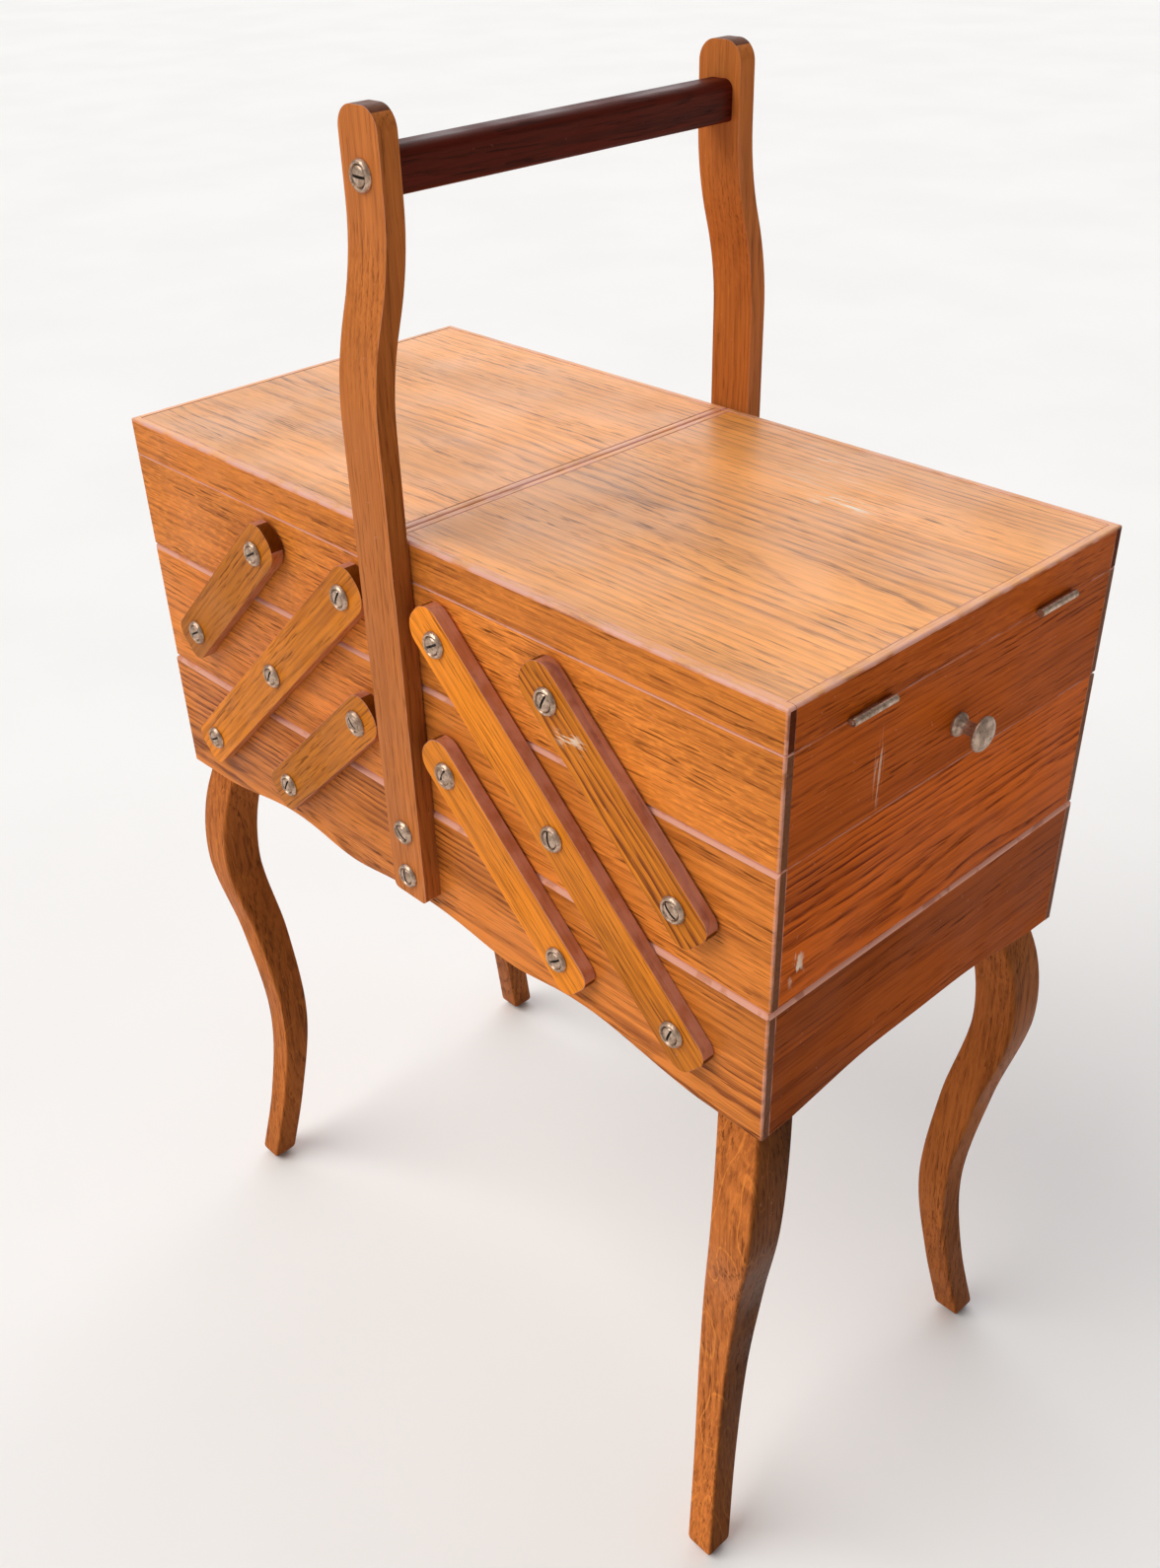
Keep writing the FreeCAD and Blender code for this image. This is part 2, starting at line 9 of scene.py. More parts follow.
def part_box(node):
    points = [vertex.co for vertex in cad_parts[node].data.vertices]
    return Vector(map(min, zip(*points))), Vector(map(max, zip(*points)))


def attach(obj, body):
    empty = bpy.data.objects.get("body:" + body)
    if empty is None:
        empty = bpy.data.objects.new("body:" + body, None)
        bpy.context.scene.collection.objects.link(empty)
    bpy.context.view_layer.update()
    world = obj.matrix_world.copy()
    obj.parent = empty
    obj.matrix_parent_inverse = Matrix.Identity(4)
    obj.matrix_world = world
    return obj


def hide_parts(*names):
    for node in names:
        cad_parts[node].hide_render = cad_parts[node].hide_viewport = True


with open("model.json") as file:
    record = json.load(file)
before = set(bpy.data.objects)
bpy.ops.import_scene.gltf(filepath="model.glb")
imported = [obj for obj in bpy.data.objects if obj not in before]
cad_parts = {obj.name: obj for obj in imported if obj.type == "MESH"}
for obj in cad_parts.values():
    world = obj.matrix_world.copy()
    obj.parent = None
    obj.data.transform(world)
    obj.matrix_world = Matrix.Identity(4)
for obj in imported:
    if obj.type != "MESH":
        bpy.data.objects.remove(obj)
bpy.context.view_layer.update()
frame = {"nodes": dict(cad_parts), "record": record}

bl_info = {
    "name": "Cantilever Sewing Box",
    "version": (1, 0, 0),
    "blender": (4, 5, 0),
    "location": "3D View > Sidebar > Sewing Box",
    "description": "Finishes an oak cantilever sewing box on cabriole legs",
    "category": "Object",
}

X_AXIS, Y_AXIS, Z_AXIS = Vector((1, 0, 0)), Vector((0, 1, 0)), Vector((0, 0, 1))
HANDS = (("left", -1), ("right", 1))
ROWS = (("front", -1), ("back", 1))
MERGE = 1e-5                  # metres between corners that are one corner
CROWN = 0.00239               # a screw's crown above the seat of its cone
SLOT_REACH = 0.012            # length of the bar that cuts a slot, past the head on both sides
SLOT_TURN = math.radians(37)  # each screw's slot is turned this much more than the last
FIRST_SLOT = 0.5              # how far the first slot is turned, in radians
TOP_PAINTED_SHEEN = 3.0                 # strength of the wear colour on rounds that face up, as a painted highlight of the sky
SEED_STEP = 1.37              # metres along the trunk from one tray board to the next
BACK_GRAIN = 7.7              # metres along the trunk from a front arm to its back one

# Legs: (share of the height, outward shift, width), in metres
LEG_STATIONS = (
    (0.0, 0.003, 0.0156), (0.18, -0.0044, 0.0156), (0.39, -0.0086, 0.0176), (0.60, -0.002, 0.0206),
    (0.80, 0.008, 0.023), (0.93, 0.005, 0.0234), (1.0, 0.0, 0.0234),
)
LEG_SHIFT_SPAN = (-0.012, 0.012)
LEG_SPLAY = 0.020
LEG_STUB = 0.012              # how far a leg enters the base
SEAM_SHARE = 0.7              # share of the gap between the lids that each rim is drawn out by
STRAIGHT = 0.996              # a face squarer than this to its board is flat, not a round
END_GRAIN = 0.8               # a face this square to the grain shows end grain


def turned(*outline):
    """A turned outline in metres, from (radius, height) in millimetres in equal steps."""
    return tuple((radius / 1000, height / 1000) for radius, height in outline)


SCREW_OUTLINE = turned(
    (0.0, 2.4), (0.8, 2.38), (1.6, 2.3), (2.4, 2.17), (3.1, 1.96), (3.6, 1.7), (3.8, 1.4),
    (3.6, 1.0), (2.8, 0.5), (2.0, 0.0), (2.0, -2.0), (2.0, -5.0), (2.0, -7.7), (2.0, -10.2),
    (1.4, -11.4), (0.6, -12.4), (0.0, -13.2),
)
WASHER_OUTLINE = turned(
    (4.0, 0.9), (4.35, 1.4), (4.45, 1.75), (4.62, 1.96), (4.9, 2.03), (5.2, 1.92), (5.5, 1.66),
    (5.72, 1.38), (5.88, 1.05), (6.03, 0.72), (6.16, 0.42), (6.19, 0.22), (6.12, 0.04),
    (5.6, 0.0), (3.5, 0.0), (2.12, 0.02), (4.0, 0.9),
)
KNOB_OUTLINE = turned(
    (0.0, 14.0), (1.4, 13.98), (2.8, 13.88), (4.2, 13.68), (5.3, 13.4), (6.2, 13.0), (6.9, 12.55),
    (7.32, 12.1), (7.5, 11.6), (7.45, 11.1), (7.15, 10.7), (6.6, 10.4), (5.8, 10.1), (5.0, 9.8),
    (4.2, 9.3), (3.6, 8.7), (3.1, 7.9), (2.85, 6.9), (2.75, 5.9), (2.75, 4.9), (2.85, 3.9),
    (3.1, 3.1), (3.5, 2.5), (4.1, 2.05), (4.7, 1.7), (4.9, 1.3), (5.05, 1.0), (5.05, 0.5),
    (5.0, 0.0), (2.1, 0.0), (2.0, -3.0), (2.0, -6.2), (0.0, -6.5),
)


def shade(code):
    """A display colour code as scene-linear red, green and blue."""
    levels = [int(code[i:i + 2], 16) / 255 for i in (0, 2, 4)]
    return tuple(v / 12.92 if v <= 0.04045 else ((v + 0.055) / 1.055) ** 2.4 for v in levels)


# ---- Sizes and colours that a user may change

def length(name, text, metres):
    return bpy.props.FloatProperty(name=name, description=text, default=metres, unit="LENGTH",
                                   precision=5, min=0)


def colour(name, text, code):
    return bpy.props.FloatVectorProperty(name=name, description=text, default=shade(code),
                                         subtype="COLOR", min=0, max=1)


class SewingBoxSizes(bpy.types.PropertyGroup):
    """How far edges are eased, and how finely turned work is cut."""
    case_arris: length("Case arris", "Easing of the case boards' edges", 0.00035)
    lid_arris: length("Lid arris", "Easing of the lids' edges", 0.0007)
    arm_arris: length("Arm arris", "Easing of the arms' edges", 0.0008)
    upright_arris: length("Upright arris", "Easing of the handle uprights' edges", 0.0013)
    grip_arris: length("Grip arris", "Easing of the crossbar's ends", 0.0003)
    hinge_arris: length("Hinge arris", "Easing of the hinge leaves", 0.0003)
    leg_corner: length("Leg corner", "Rounding of the legs' corners", 0.0017)
    leg_foot: length("Leg foot", "Rounding under the feet", 0.0066)
    leg_rings: bpy.props.IntProperty(name="Leg rings", description="Sections along a leg",
                                     default=110, min=12)
    turned_sides: bpy.props.IntProperty(name="Turned sides", description="Sides of turned work",
                                        default=40, min=12)


class SewingBoxColours(bpy.types.PropertyGroup):
    """Colours of the oak and the metal."""
    fronts: colour("Fronts", "Oak of the front and back boards", "df8236")
    fronts_dark: colour("Fronts, dark", "Dark figure of the front and back boards", "8a4216")
    # The ends' colour is partly the redder oak of the end boards and partly painted shade: it is
    # set darker for the ends that lie in shade.
    ends: colour("Ends", "Oak of the end boards", "c05a18")
    ends_dark: colour("Ends, dark", "Dark figure of the end boards", "66240a")
    # The lids' colour is partly the paler oak of the panels and partly painted light: it is set
    # lighter for the lit tops.
    lids: colour("Lids", "Oak of the lid panels", "f09c44")
    lids_dark: colour("Lids, dark", "Dark figure of the lid panels", "9a5a22")
    arms: colour("Arms", "Oak of the folding arms", "ea8820")
    arms_dark: colour("Arms, dark", "Dark figure of the folding arms", "863c0e")
    handle: colour("Handle", "Oak of the handle uprights", "c87436")
    handle_dark: colour("Handle, dark", "Dark figure of the uprights", "7a3a18")
    legs: colour("Legs", "Oak of the legs", "ad622e")
    legs_dark: colour("Legs, dark", "Dark figure of the legs", "522410")
    grip: colour("Grip", "Dark oak of the crossbar", "55180e")
    grip_dark: colour("Grip, dark", "Dark figure of the crossbar", "220806")
    inside: colour("Tray floors", "Plain oak of the tray floors", "c98a50")
    inside_dark: colour("Tray floors, dark", "Dark figure of the tray floors", "93592b")
    # The wear colour is partly rubbed varnish and partly a painted pink sheen of the sky.
    wear: colour("Wear", "Rubbed varnish along the edges", "e0a28c")
    nickel: colour("Nickel", "Aged nickel of the screws, cups and hinges", "ccb09a")
    pewter: colour("Pewter", "Dark pewter of the knobs", "c4aa96")
    floor: colour("Floor", "The studio floor", "f4f3f1")


# ---- Node trees

class Wiring:
    """A node tree being wired: every call adds a node and gives back its output."""

    def __init__(self, tree):
        self.tree = tree

    def add(self, kind, inputs=(), output=0, **settings):
        node = self.tree.nodes.new(kind)
        for key, value in settings.items():
            setattr(node, key, value)
        for key, value in dict(inputs).items():
            if isinstance(value, bpy.types.NodeSocket):
                self.tree.links.new(value, node.inputs[key])
            else:
                node.inputs[key].default_value = value
        return node.outputs[output] if node.outputs else node

    def math(self, operation, first, second=0.0, clamp=False):
        return self.add("ShaderNodeMath", {0: first, 1: second}, operation=operation,
                        use_clamp=clamp)

    def chain(self, operation, values, clamp=False):
        """The values worked together from the left; only the last result is clamped."""
        *early, last = values
        first = self.chain(operation, early) if len(early) > 1 else early[0]
        return self.math(operation, first, last, clamp)

    def times(self, *values, clamp=False):
        return self.chain("MULTIPLY", values, clamp)

    def plus(self, *values, clamp=False):
        return self.chain("ADD", values, clamp)

    def less(self, first, second):
        return self.math("SUBTRACT", first, second)

    def over(self, first, second):
        return self.math("DIVIDE", first, second)

    def scaled(self, colour, level):
        """A colour made lighter or darker."""
        return self.add("ShaderNodeVectorMath", {0: colour, "Scale": level}, operation="SCALE")

    def read(self, attribute, output="Fac"):
        """One of the piece's own attributes."""
        return self.add("ShaderNodeAttribute", output=output, attribute_name=attribute)

    def dress(self, shape, material):
        return self.add("GeometryNodeSetMaterial", {"Geometry": shape, "Material": material})

    def xyz(self, x=0.0, y=0.0, z=0.0):
        return self.add("ShaderNodeCombineXYZ", {0: x, 1: y, 2: z})

    def parts(self, vector):
        """The x, y and z of a vector."""
        return self.add("ShaderNodeSeparateXYZ", {0: vector}).node.outputs

    def vector(self, operation, first, second=(0, 0, 0), output=0):
        return self.add("ShaderNodeVectorMath", {0: first, 1: second}, output, operation=operation)

    def ease(self, value, low, high, start=0.0, end=1.0):
        """A smooth step from start at low to end at high."""
        return self.add("ShaderNodeMapRange", {0: value, 1: low, 2: high, 3: start, 4: end},
                        interpolation_type="SMOOTHSTEP")

    def noise(self, place, stretch, detail=1.0, output=0, roughness=0.5):
        """Noise whose cells are one over stretch long, in metres."""
        spread = self.vector("MULTIPLY", place, stretch)
        return self.add("ShaderNodeTexNoise", {"Vector": spread, "Scale": 1.0, "Detail": detail,
                                               "Roughness": roughness}, output)

    def ramp(self, value, stops):
        """Grey levels at the given places."""
        made = self.add("ShaderNodeValToRGB", {0: value})
        band = made.node.color_ramp
        while len(band.elements) < len(stops):
            band.elements.new(0.5)
        for element, (place, level) in zip(band.elements, stops):
            element.position = place
            element.color = (level, level, level, 1)
        return made

    def mix(self, share, first, second):
        """Two colours mixed."""
        pair = [v if isinstance(v, bpy.types.NodeSocket) else (*v[:3], 1) for v in (first, second)]
        return self.add("ShaderNodeMix", {0: share, 6: pair[0], 7: pair[1]}, 2, data_type="RGBA")

    def curve(self, value, points, handle):
        """A float curve through (place, level) points, all from 0 to 1."""
        made = self.add("ShaderNodeFloatCurve", {"Factor": 1.0, "Value": value})
        line = made.node.mapping.curves[0]
        while len(line.points) < len(points):
            line.points.new(0.5, 0.5)
        for point, place in zip(line.points, points):
            point.location = place
            point.handle_type = handle
        made.node.mapping.extend = "HORIZONTAL"
        made.node.mapping.update()
        return made


def new_material(name):
    material = bpy.data.materials.new(name)
    material.use_nodes = True
    material.node_tree.nodes.clear()
    return material, Wiring(material.node_tree)


def finish_material(wiring, inputs):
    """The shader and the output."""
    shader = wiring.add("ShaderNodeBsdfPrincipled", inputs)
    wiring.add("ShaderNodeOutputMaterial", {"Surface": shader})


def oak(name, light, dark, ring=0.0032, contrast=0.75, pores=0.7, rough=0.42, coat=0.04,
        shine=0.1, streak=0.42, line=1.0, knock=0.16, varnish=(1.0, 0.5, 0.2), fibre=0.3,
        rays=0.0, scuffs=(), painted_reflection=None):
    """Varnished oak whose rings run through the whole board, by its own grain attribute."""
    wear_and_sheen_colour = bpy.context.scene.sewing_box_colours.wear
    material, w = new_material(name)
    grain = w.read("grain", "Vector")
    tone, figure, fleck, fade, worn, end = (
        w.read(name) for name in ("tone", "figure", "fleck", "fade", "wear", "endgrain"))
    place = w.add("ShaderNodeTexCoord", output="Object")

    # Growth rings round a wandering pith
    def wander(stretch, amount):
        drift = w.noise(grain, stretch, 2.0, "Color")
        centred = w.vector("SUBTRACT", drift, (0.5, 0.5, 0.5))
        return w.vector("MULTIPLY", centred, (0, amount, amount))

    bent = w.vector("ADD", grain, wander((4.5, 16, 16), 0.016))
    bent = w.vector("ADD", bent, wander((28, 90, 90), 0.0026))
    across = w.vector("MULTIPLY", bent, (0, 1, 1))
    radius = w.vector("LENGTH", across, output="Value")
    years = w.over(radius, ring)
    uneven = w.add("ShaderNodeTexNoise", {"W": w.times(years, 0.37), "Scale": 1.0,
                                          "Detail": 1.0}, noise_dimensions="1D")
    years = w.plus(years, w.times(uneven, 1.6))
    season = w.math("FRACT", years)
    early = w.ramp(season, ((0.0, 0.75), (0.10 * line, 1.0), (0.30 * line, 0.5),
                            (0.62 * line, 0.08), (0.93, 0.0), (1.0, 0.7)))
    boldness = w.noise(grain, (3.2, 30, 30), 1.0)
    bold = w.ease(boldness, 0.34, 0.66, 0.25, 1.15)
    early_shown = w.times(early, bold, figure)
    broken = w.ease(w.noise(grain, (48, 620, 620), 1.5), 0.36, 0.58, 0.4, 1.1)
    early_shown = w.times(early_shown, broken)

    # Pore lines and fibres
    dashes = w.noise(grain, (72, 1350, 1350), 1.5)
    dash = w.ease(dashes, 0.52, 0.61)
    rich = w.plus(w.times(early, 0.7), 0.3)
    patchy = w.ease(w.noise(grain, (16, 60, 60), 1.0), 0.35, 0.65, 0.35, 1.0)
    pore = w.times(dash, rich, patchy)
    fibres = w.noise(grain, (34, 1700, 1700), 2.0)
    streaks = w.noise(grain, (9, 330, 330), 2.0)
    clouds = w.noise(grain, (5, 24, 24), 2.0)

    # Ray fleck on quartered boards
    flecks = w.ease(w.noise(grain, (170, 520, 520), 2.0), 0.48, 0.66)
    flecks = w.times(flecks, fleck)

    body = w.mix(w.times(early_shown, contrast), light, dark)
    body = w.mix(w.times(w.ease(streaks, 0.42, 0.72), streak), body, dark)
    pale = tuple(min(1.0, v * gain) for v, gain in zip(light, (1.35, 1.5, 1.3)))
    body = w.mix(w.times(w.ease(fibres, 0.5, 0.75), fibre), body, pale)
    body = w.mix(w.times(flecks, 0.42), body, pale)
    if rays:
        band = w.math("ABSOLUTE", w.less(w.noise(grain, (22, 75, 75), 0.6), 0.5))
        band = w.times(w.ease(band, 0.02, 0.004), fleck, rays)
        body = w.mix(band, body, pale)
    deep = tuple(v * 0.42 for v in dark)
    body = w.mix(w.times(pore, pores), body, deep)
    level = w.plus(w.ease(clouds, 0.3, 0.7, 0.86, 1.14), w.plus(tone, fade))
    body = w.scaled(body, level)
    body = w.mix(w.times(end, 0.88), body, tuple(v * 0.33 for v in dark))

    # Edges in the wear colour, partly real rubbing and partly a painted sheen of the sky; knocks
    # and scuffs
    rub = w.ease(w.noise(place, (90, 90, 90), 3.0), 0.36, 0.62)
    edge = w.times(worn, w.plus(w.times(rub, 0.5), 0.2), clamp=True)
    # On the arms, the marked faces are pulled toward a purplish painted reflection of the sky, and
    # less of the wear colour shows.
    if painted_reflection:
        body = w.mix(w.times(worn, 0.62, clamp=True), body, painted_reflection)
        edge = w.times(edge, 0.6)
    body = w.mix(edge, body, wear_and_sheen_colour)
    knocks = w.ease(w.noise(place, (420, 420, 420), 1.0), 0.75, 0.785)
    body = w.mix(w.times(knocks, knock), body, wear_and_sheen_colour)
    scratched = None
    for centre, reach, stretch, strength in scuffs:
        offset = w.vector("SUBTRACT", place, centre)
        offset = w.vector("DIVIDE", offset, reach)
        near = w.ease(w.vector("LENGTH", offset, output="Value"), 1.0, 0.25)
        strokes = w.ease(w.noise(place, stretch, 3.0), 0.47, 0.6)
        mark = w.times(near, strokes, strength)
        scratched = w.math("MAXIMUM", scratched, mark) if scratched else mark
    if scratched:
        body = w.mix(scratched, body, shade("f0dcc4"))

    # Varnish: a little dull where handled, a little open over the pores
    handled = w.ease(w.noise(place, (26, 26, 26), 3.0), 0.35, 0.68, rough - 0.08, rough + 0.12)
    roughness = w.plus(handled, w.times(pore, 0.18), clamp=True)
    height = w.plus(w.times(pore, -0.9), w.times(early, -0.22), w.times(fibres, 0.35))
    bump = w.add("ShaderNodeBump", {"Strength": 0.35, "Distance": 0.00022, "Height": height})
    finish_material(w, {"Base Color": body, "Roughness": roughness, "Normal": bump,
                        "Coat Weight": coat, "Coat Roughness": 0.34, "Specular IOR Level": shine,
                        "Specular Tint": (*varnish, 1)})
    return material


def metal(name, base, tarnish, rough, wear=0.5):
    """Old plated metal with tarnish in patches and fine grime."""
    material, w = new_material(name)
    place = w.add("ShaderNodeTexCoord", output="Object")
    patches = w.ease(w.noise(place, (260, 260, 260), 3.0), 0.38, 0.66)
    grime = w.ease(w.noise(place, (900, 900, 900), 2.0), 0.48, 0.7)
    body = w.mix(w.times(patches, wear), base, tarnish)
    body = w.mix(w.times(grime, 0.45), body, tuple(v * 0.5 for v in tarnish))
    roughness = w.ease(patches, 0.0, 1.0, rough, rough + 0.2)
    bump = w.add("ShaderNodeBump", {"Strength": 0.25, "Distance": 0.0001, "Height": grime})
    finish_material(w, {"Base Color": body, "Metallic": 0.85, "Roughness": roughness,
                        "Normal": bump})
    return material


FINISHES = {}                 # the finishes by slot, filled on first use


def materials():
    """The finishes by slot, made once."""
    if FINISHES:
        return FINISHES
    c = bpy.context.scene.sewing_box_colours
    lid_scuffs = (
        ((0.118, 0.045, 0.508), (0.020, 0.011, 0.01), (60, 420, 420), 0.9),
        ((0.083, 0.079, 0.508), (0.010, 0.006, 0.01), (90, 380, 380), 0.45),
        ((0.100, 0.060, 0.508), (0.045, 0.028, 0.01), (30, 700, 700), 0.25),
    )
    end_scuffs = (
        ((0.215, -0.091, 0.389), (0.01, 0.006, 0.013), (300, 340, 120), 0.85),
        ((0.215, -0.050, 0.460), (0.01, 0.0035, 0.022), (300, 900, 60), 0.5),
    )
    arm_scuffs = (
        ((0.115, -0.1125, 0.458), (0.012, 0.01, 0.006), (120, 300, 700), 0.8),
    )
    # The slots' dark metal is painted shade in the recess.
    FINISHES["slot_grime"] = metal("slot painted shade", shade("4b4036"), shade("1d1713"), 0.6)
    # A purplish painted reflection of the sky, for the arms' narrow sides.
    painted_sky_tint = shade("8a5048")
    FINISHES.update({
        "oak_fronts": oak("golden oak boards", c.fronts, c.fronts_dark, pores=0.95, streak=0.55,
                          fibre=0.45),
        "oak_ends": oak("red oak ends", c.ends, c.ends_dark, shine=0.02, coat=0.0,
                        scuffs=end_scuffs),
        "oak_lids": oak("pale oak lids", c.lids, c.lids_dark, ring=0.0040, pores=0.9, rough=0.5,
                        coat=0.4, shine=0.7, streak=0.34, line=0.6, contrast=0.85,
                        varnish=(1.0, 0.92, 0.85), scuffs=lid_scuffs),
        "oak_arms": oak("orange oak arms", c.arms, c.arms_dark, ring=0.0028, scuffs=arm_scuffs,
                        painted_reflection=painted_sky_tint),
        "oak_handle": oak("brown oak handle", c.handle, c.handle_dark, ring=0.0026,
                          contrast=0.45, pores=0.5, streak=0.25),
        "oak_legs": oak("brown oak legs", c.legs, c.legs_dark, ring=0.0030, contrast=0.6,
                        shine=0.03, coat=0.0, rays=0.75),
        "dark_grip": oak("dark oak grip", c.grip, c.grip_dark, ring=0.0024, knock=0.04),
        "tray_bottoms": oak("plain oak floors", c.inside, c.inside_dark, ring=0.0050, coat=0.0,
                            rough=0.55),
        "aged_nickel": metal("aged nickel", c.nickel, shade("75583f"), 0.3, 0.5),
        "dark_pewter": metal("dark pewter", c.pewter, shade("7a6453"), 0.42),
    })
    return FINISHES


SLOT_OF = {part["node"]: part["material_slot"] for part in frame["record"]["subparts"]}
BODIES = frame["record"]["behaviour"]["bodies"]
BODY_OF = {node: body for body, nodes in BODIES.items() for node in nodes}


# ---- Shapes

def settle(piece, node, keep=False):
    """Gives a piece its finish and its body, and hides the node that it stands for."""
    slot = SLOT_OF[node]
    if not keep:
        piece.data.materials.clear()
        piece.data.materials.append(materials()[slot])
    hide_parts(node)
    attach(piece, BODY_OF[node])


def merged(mesh, near=MERGE):
    """A mesh opened for work, with the corners that are one joined up."""
    bm = bmesh.new()
    bm.from_mesh(mesh)
    bmesh.ops.remove_doubles(bm, verts=bm.verts, dist=near)
    return bm


def placed(name, data):
    """A new object in the scene."""
    piece = bpy.data.objects.new(name, data)
    bpy.context.scene.collection.objects.link(piece)
    return piece


def eased(source, arris, segments, sharp=35.0):
    """A mesh with its outer arrises rounded and marked for the wear colour, which is partly a
    painted sheen.
    """
    bm = merged(source)
    bmesh.ops.dissolve_limit(bm, angle_limit=math.radians(0.6), verts=bm.verts, edges=bm.edges)
    wear = bm.faces.layers.float.new("wear")
    edges = [e for e in bm.edges if e.is_manifold and e.is_convex
             and e.calc_face_angle() > math.radians(sharp)]
    made = bmesh.ops.bevel(bm, geom=edges, offset=arris, offset_type="OFFSET", segments=segments,
                           profile=0.5, affect="EDGES", clamp_overlap=True)
    for face in made["faces"]:
        face[wear] = 1.0
    mesh = bpy.data.meshes.new(source.name + "_eased")
    bm.to_mesh(mesh)
    bm.free()
    return mesh


def mark(mesh, name, values, domain="POINT"):
    """Writes a number, or three for a vector, on each point or face."""
    threes = len(values) > len(mesh.vertices if domain == "POINT" else mesh.polygons)
    layer = mesh.attributes.new(name, "FLOAT_VECTOR" if threes else "FLOAT", domain)
    layer.data.foreach_set("vector" if threes else "value", values)


def lay_grain(mesh, along, facing, pith, tone=0.0, figure=1.0, fleck=0.0, worn_rounds=True,
              rim=1.0, shaded=0.0, fade=0.0):
    """Marks each point's place in the plank: along the grain, across it and in from the pith."""
    along = Vector(along).normalized()
    facing = Vector(facing).normalized()
    across = facing.cross(along)
    points = [v.co for v in mesh.vertices]
    middle = sum(points, Vector()) / len(points)
    offsets = [point - middle for point in points]
    places = [(o.dot(along) + pith[2], o.dot(across) + pith[0], o.dot(facing) + pith[1])
              for o in offsets]
    mark(mesh, "grain", [value for place in places for value in place])
    reach = max(abs(offset.dot(along)) for offset in offsets)
    mark(mesh, "fade", [fade * offset.dot(along) / reach for offset in offsets])
    mark(mesh, "figure", [figure] * len(points))
    mark(mesh, "fleck", [fleck] * len(points))
    normals = [face.normal.copy() for face in mesh.polygons]
    # The tone also carries painted shade: faces turned toward +X are made darker by the shaded
    # amount.
    mark(mesh, "tone", [tone - shaded * max(0.0, n.x) for n in normals], "FACE")
    mark(mesh, "endgrain", [float(abs(n.dot(along)) > END_GRAIN) for n in normals], "FACE")
    wear = mesh.attributes.get("wear") or mesh.attributes.new("wear", "FLOAT", "FACE")
    for index, face in enumerate(mesh.polygons):
        straight = max(abs(face.normal.dot(axis)) for axis in (along, across, facing))
        # Rounds take the wear colour; those facing up take rim times as much, as a painted
        # highlight of the sky.
        if worn_rounds and straight < STRAIGHT:
            wear.data[index].value = rim if face.normal.z > 0.15 else 1.0


def finished(name, mesh, smooth=42.0):
    """An object from a mesh, with smooth rounds beside flat faces."""
    piece = placed(name, mesh)
    mesh.shade_smooth()
    mesh.set_sharp_from_angle(angle=math.radians(smooth))
    weighted = piece.modifiers.new("weighted", "WEIGHTED_NORMAL")
    weighted.keep_sharp = True
    return plain(piece)


def plain(piece):
    """The evaluated shape as a plain mesh, with the modifiers gone."""
    graph = bpy.context.evaluated_depsgraph_get()
    graph.update()
    result = bpy.data.meshes.new_from_object(piece.evaluated_get(graph),
                                             preserve_all_data_layers=True, depsgraph=graph)
    piece.modifiers.clear()
    piece.data = result
    result.name = piece.name
    return piece


def settle_mesh(node, mesh):
    """A node's finished mesh made a piece, on the node's own body and slot."""
    settle(finished(node + "_finished", mesh), node)


def plank(node, along, facing, pith, arris, segments=2, **looks):
    """One board of the box: eased, with its grain laid and its finish on."""
    mesh = eased(frame["nodes"][node].data, arris, segments)
    lay_grain(mesh, along, facing, pith, **looks)
    settle_mesh(node, mesh)


def islands(node):
    """The separate solids of a CAD node, as (lowest corner, highest corner)."""
    bm = merged(frame["nodes"][node].data)
    left, found = set(bm.verts), []
    while left:
        stack, group = [left.pop()], []
        while stack:
            vert = stack.pop()
            group.append(vert.co.copy())
            for edge in vert.link_edges:
                other = edge.other_vert(vert)
                if other in left:
                    left.remove(other)
                    stack.append(other)
        found.append((Vector([min(p[i] for p in group) for i in range(3)]),
                      Vector([max(p[i] for p in group) for i in range(3)])))
    bm.free()
    return found


# ---- Geometry Nodes

def node_group(name, inputs):
    """A geometry tree with its named inputs; gives the wiring and the input sockets by name."""
    tree = bpy.data.node_groups.new(name, "GeometryNodeTree")
    tree.interface.new_socket("Geometry", in_out="INPUT", socket_type="NodeSocketGeometry")
    tree.interface.new_socket("Geometry", in_out="OUTPUT", socket_type="NodeSocketGeometry")
    for title, (kind, value) in inputs.items():
        item = tree.interface.new_socket(title, in_out="INPUT", socket_type=kind)
        if value is not None:
            item.default_value = value
    wiring = Wiring(tree)
    given = wiring.add("NodeGroupInput").node
    return wiring, {socket.name: socket for socket in given.outputs if socket.name}


def grown(piece, wiring, values):
    """Runs a geometry tree on an object and keeps the result as a plain mesh."""
    modifier = piece.modifiers.new(wiring.tree.name, "NODES")
    modifier.node_group = wiring.tree
    for item in wiring.tree.interface.items_tree:
        if item.in_out == "INPUT" and item.name in values:
            modifier[item.identifier] = values[item.name]
    return plain(piece)


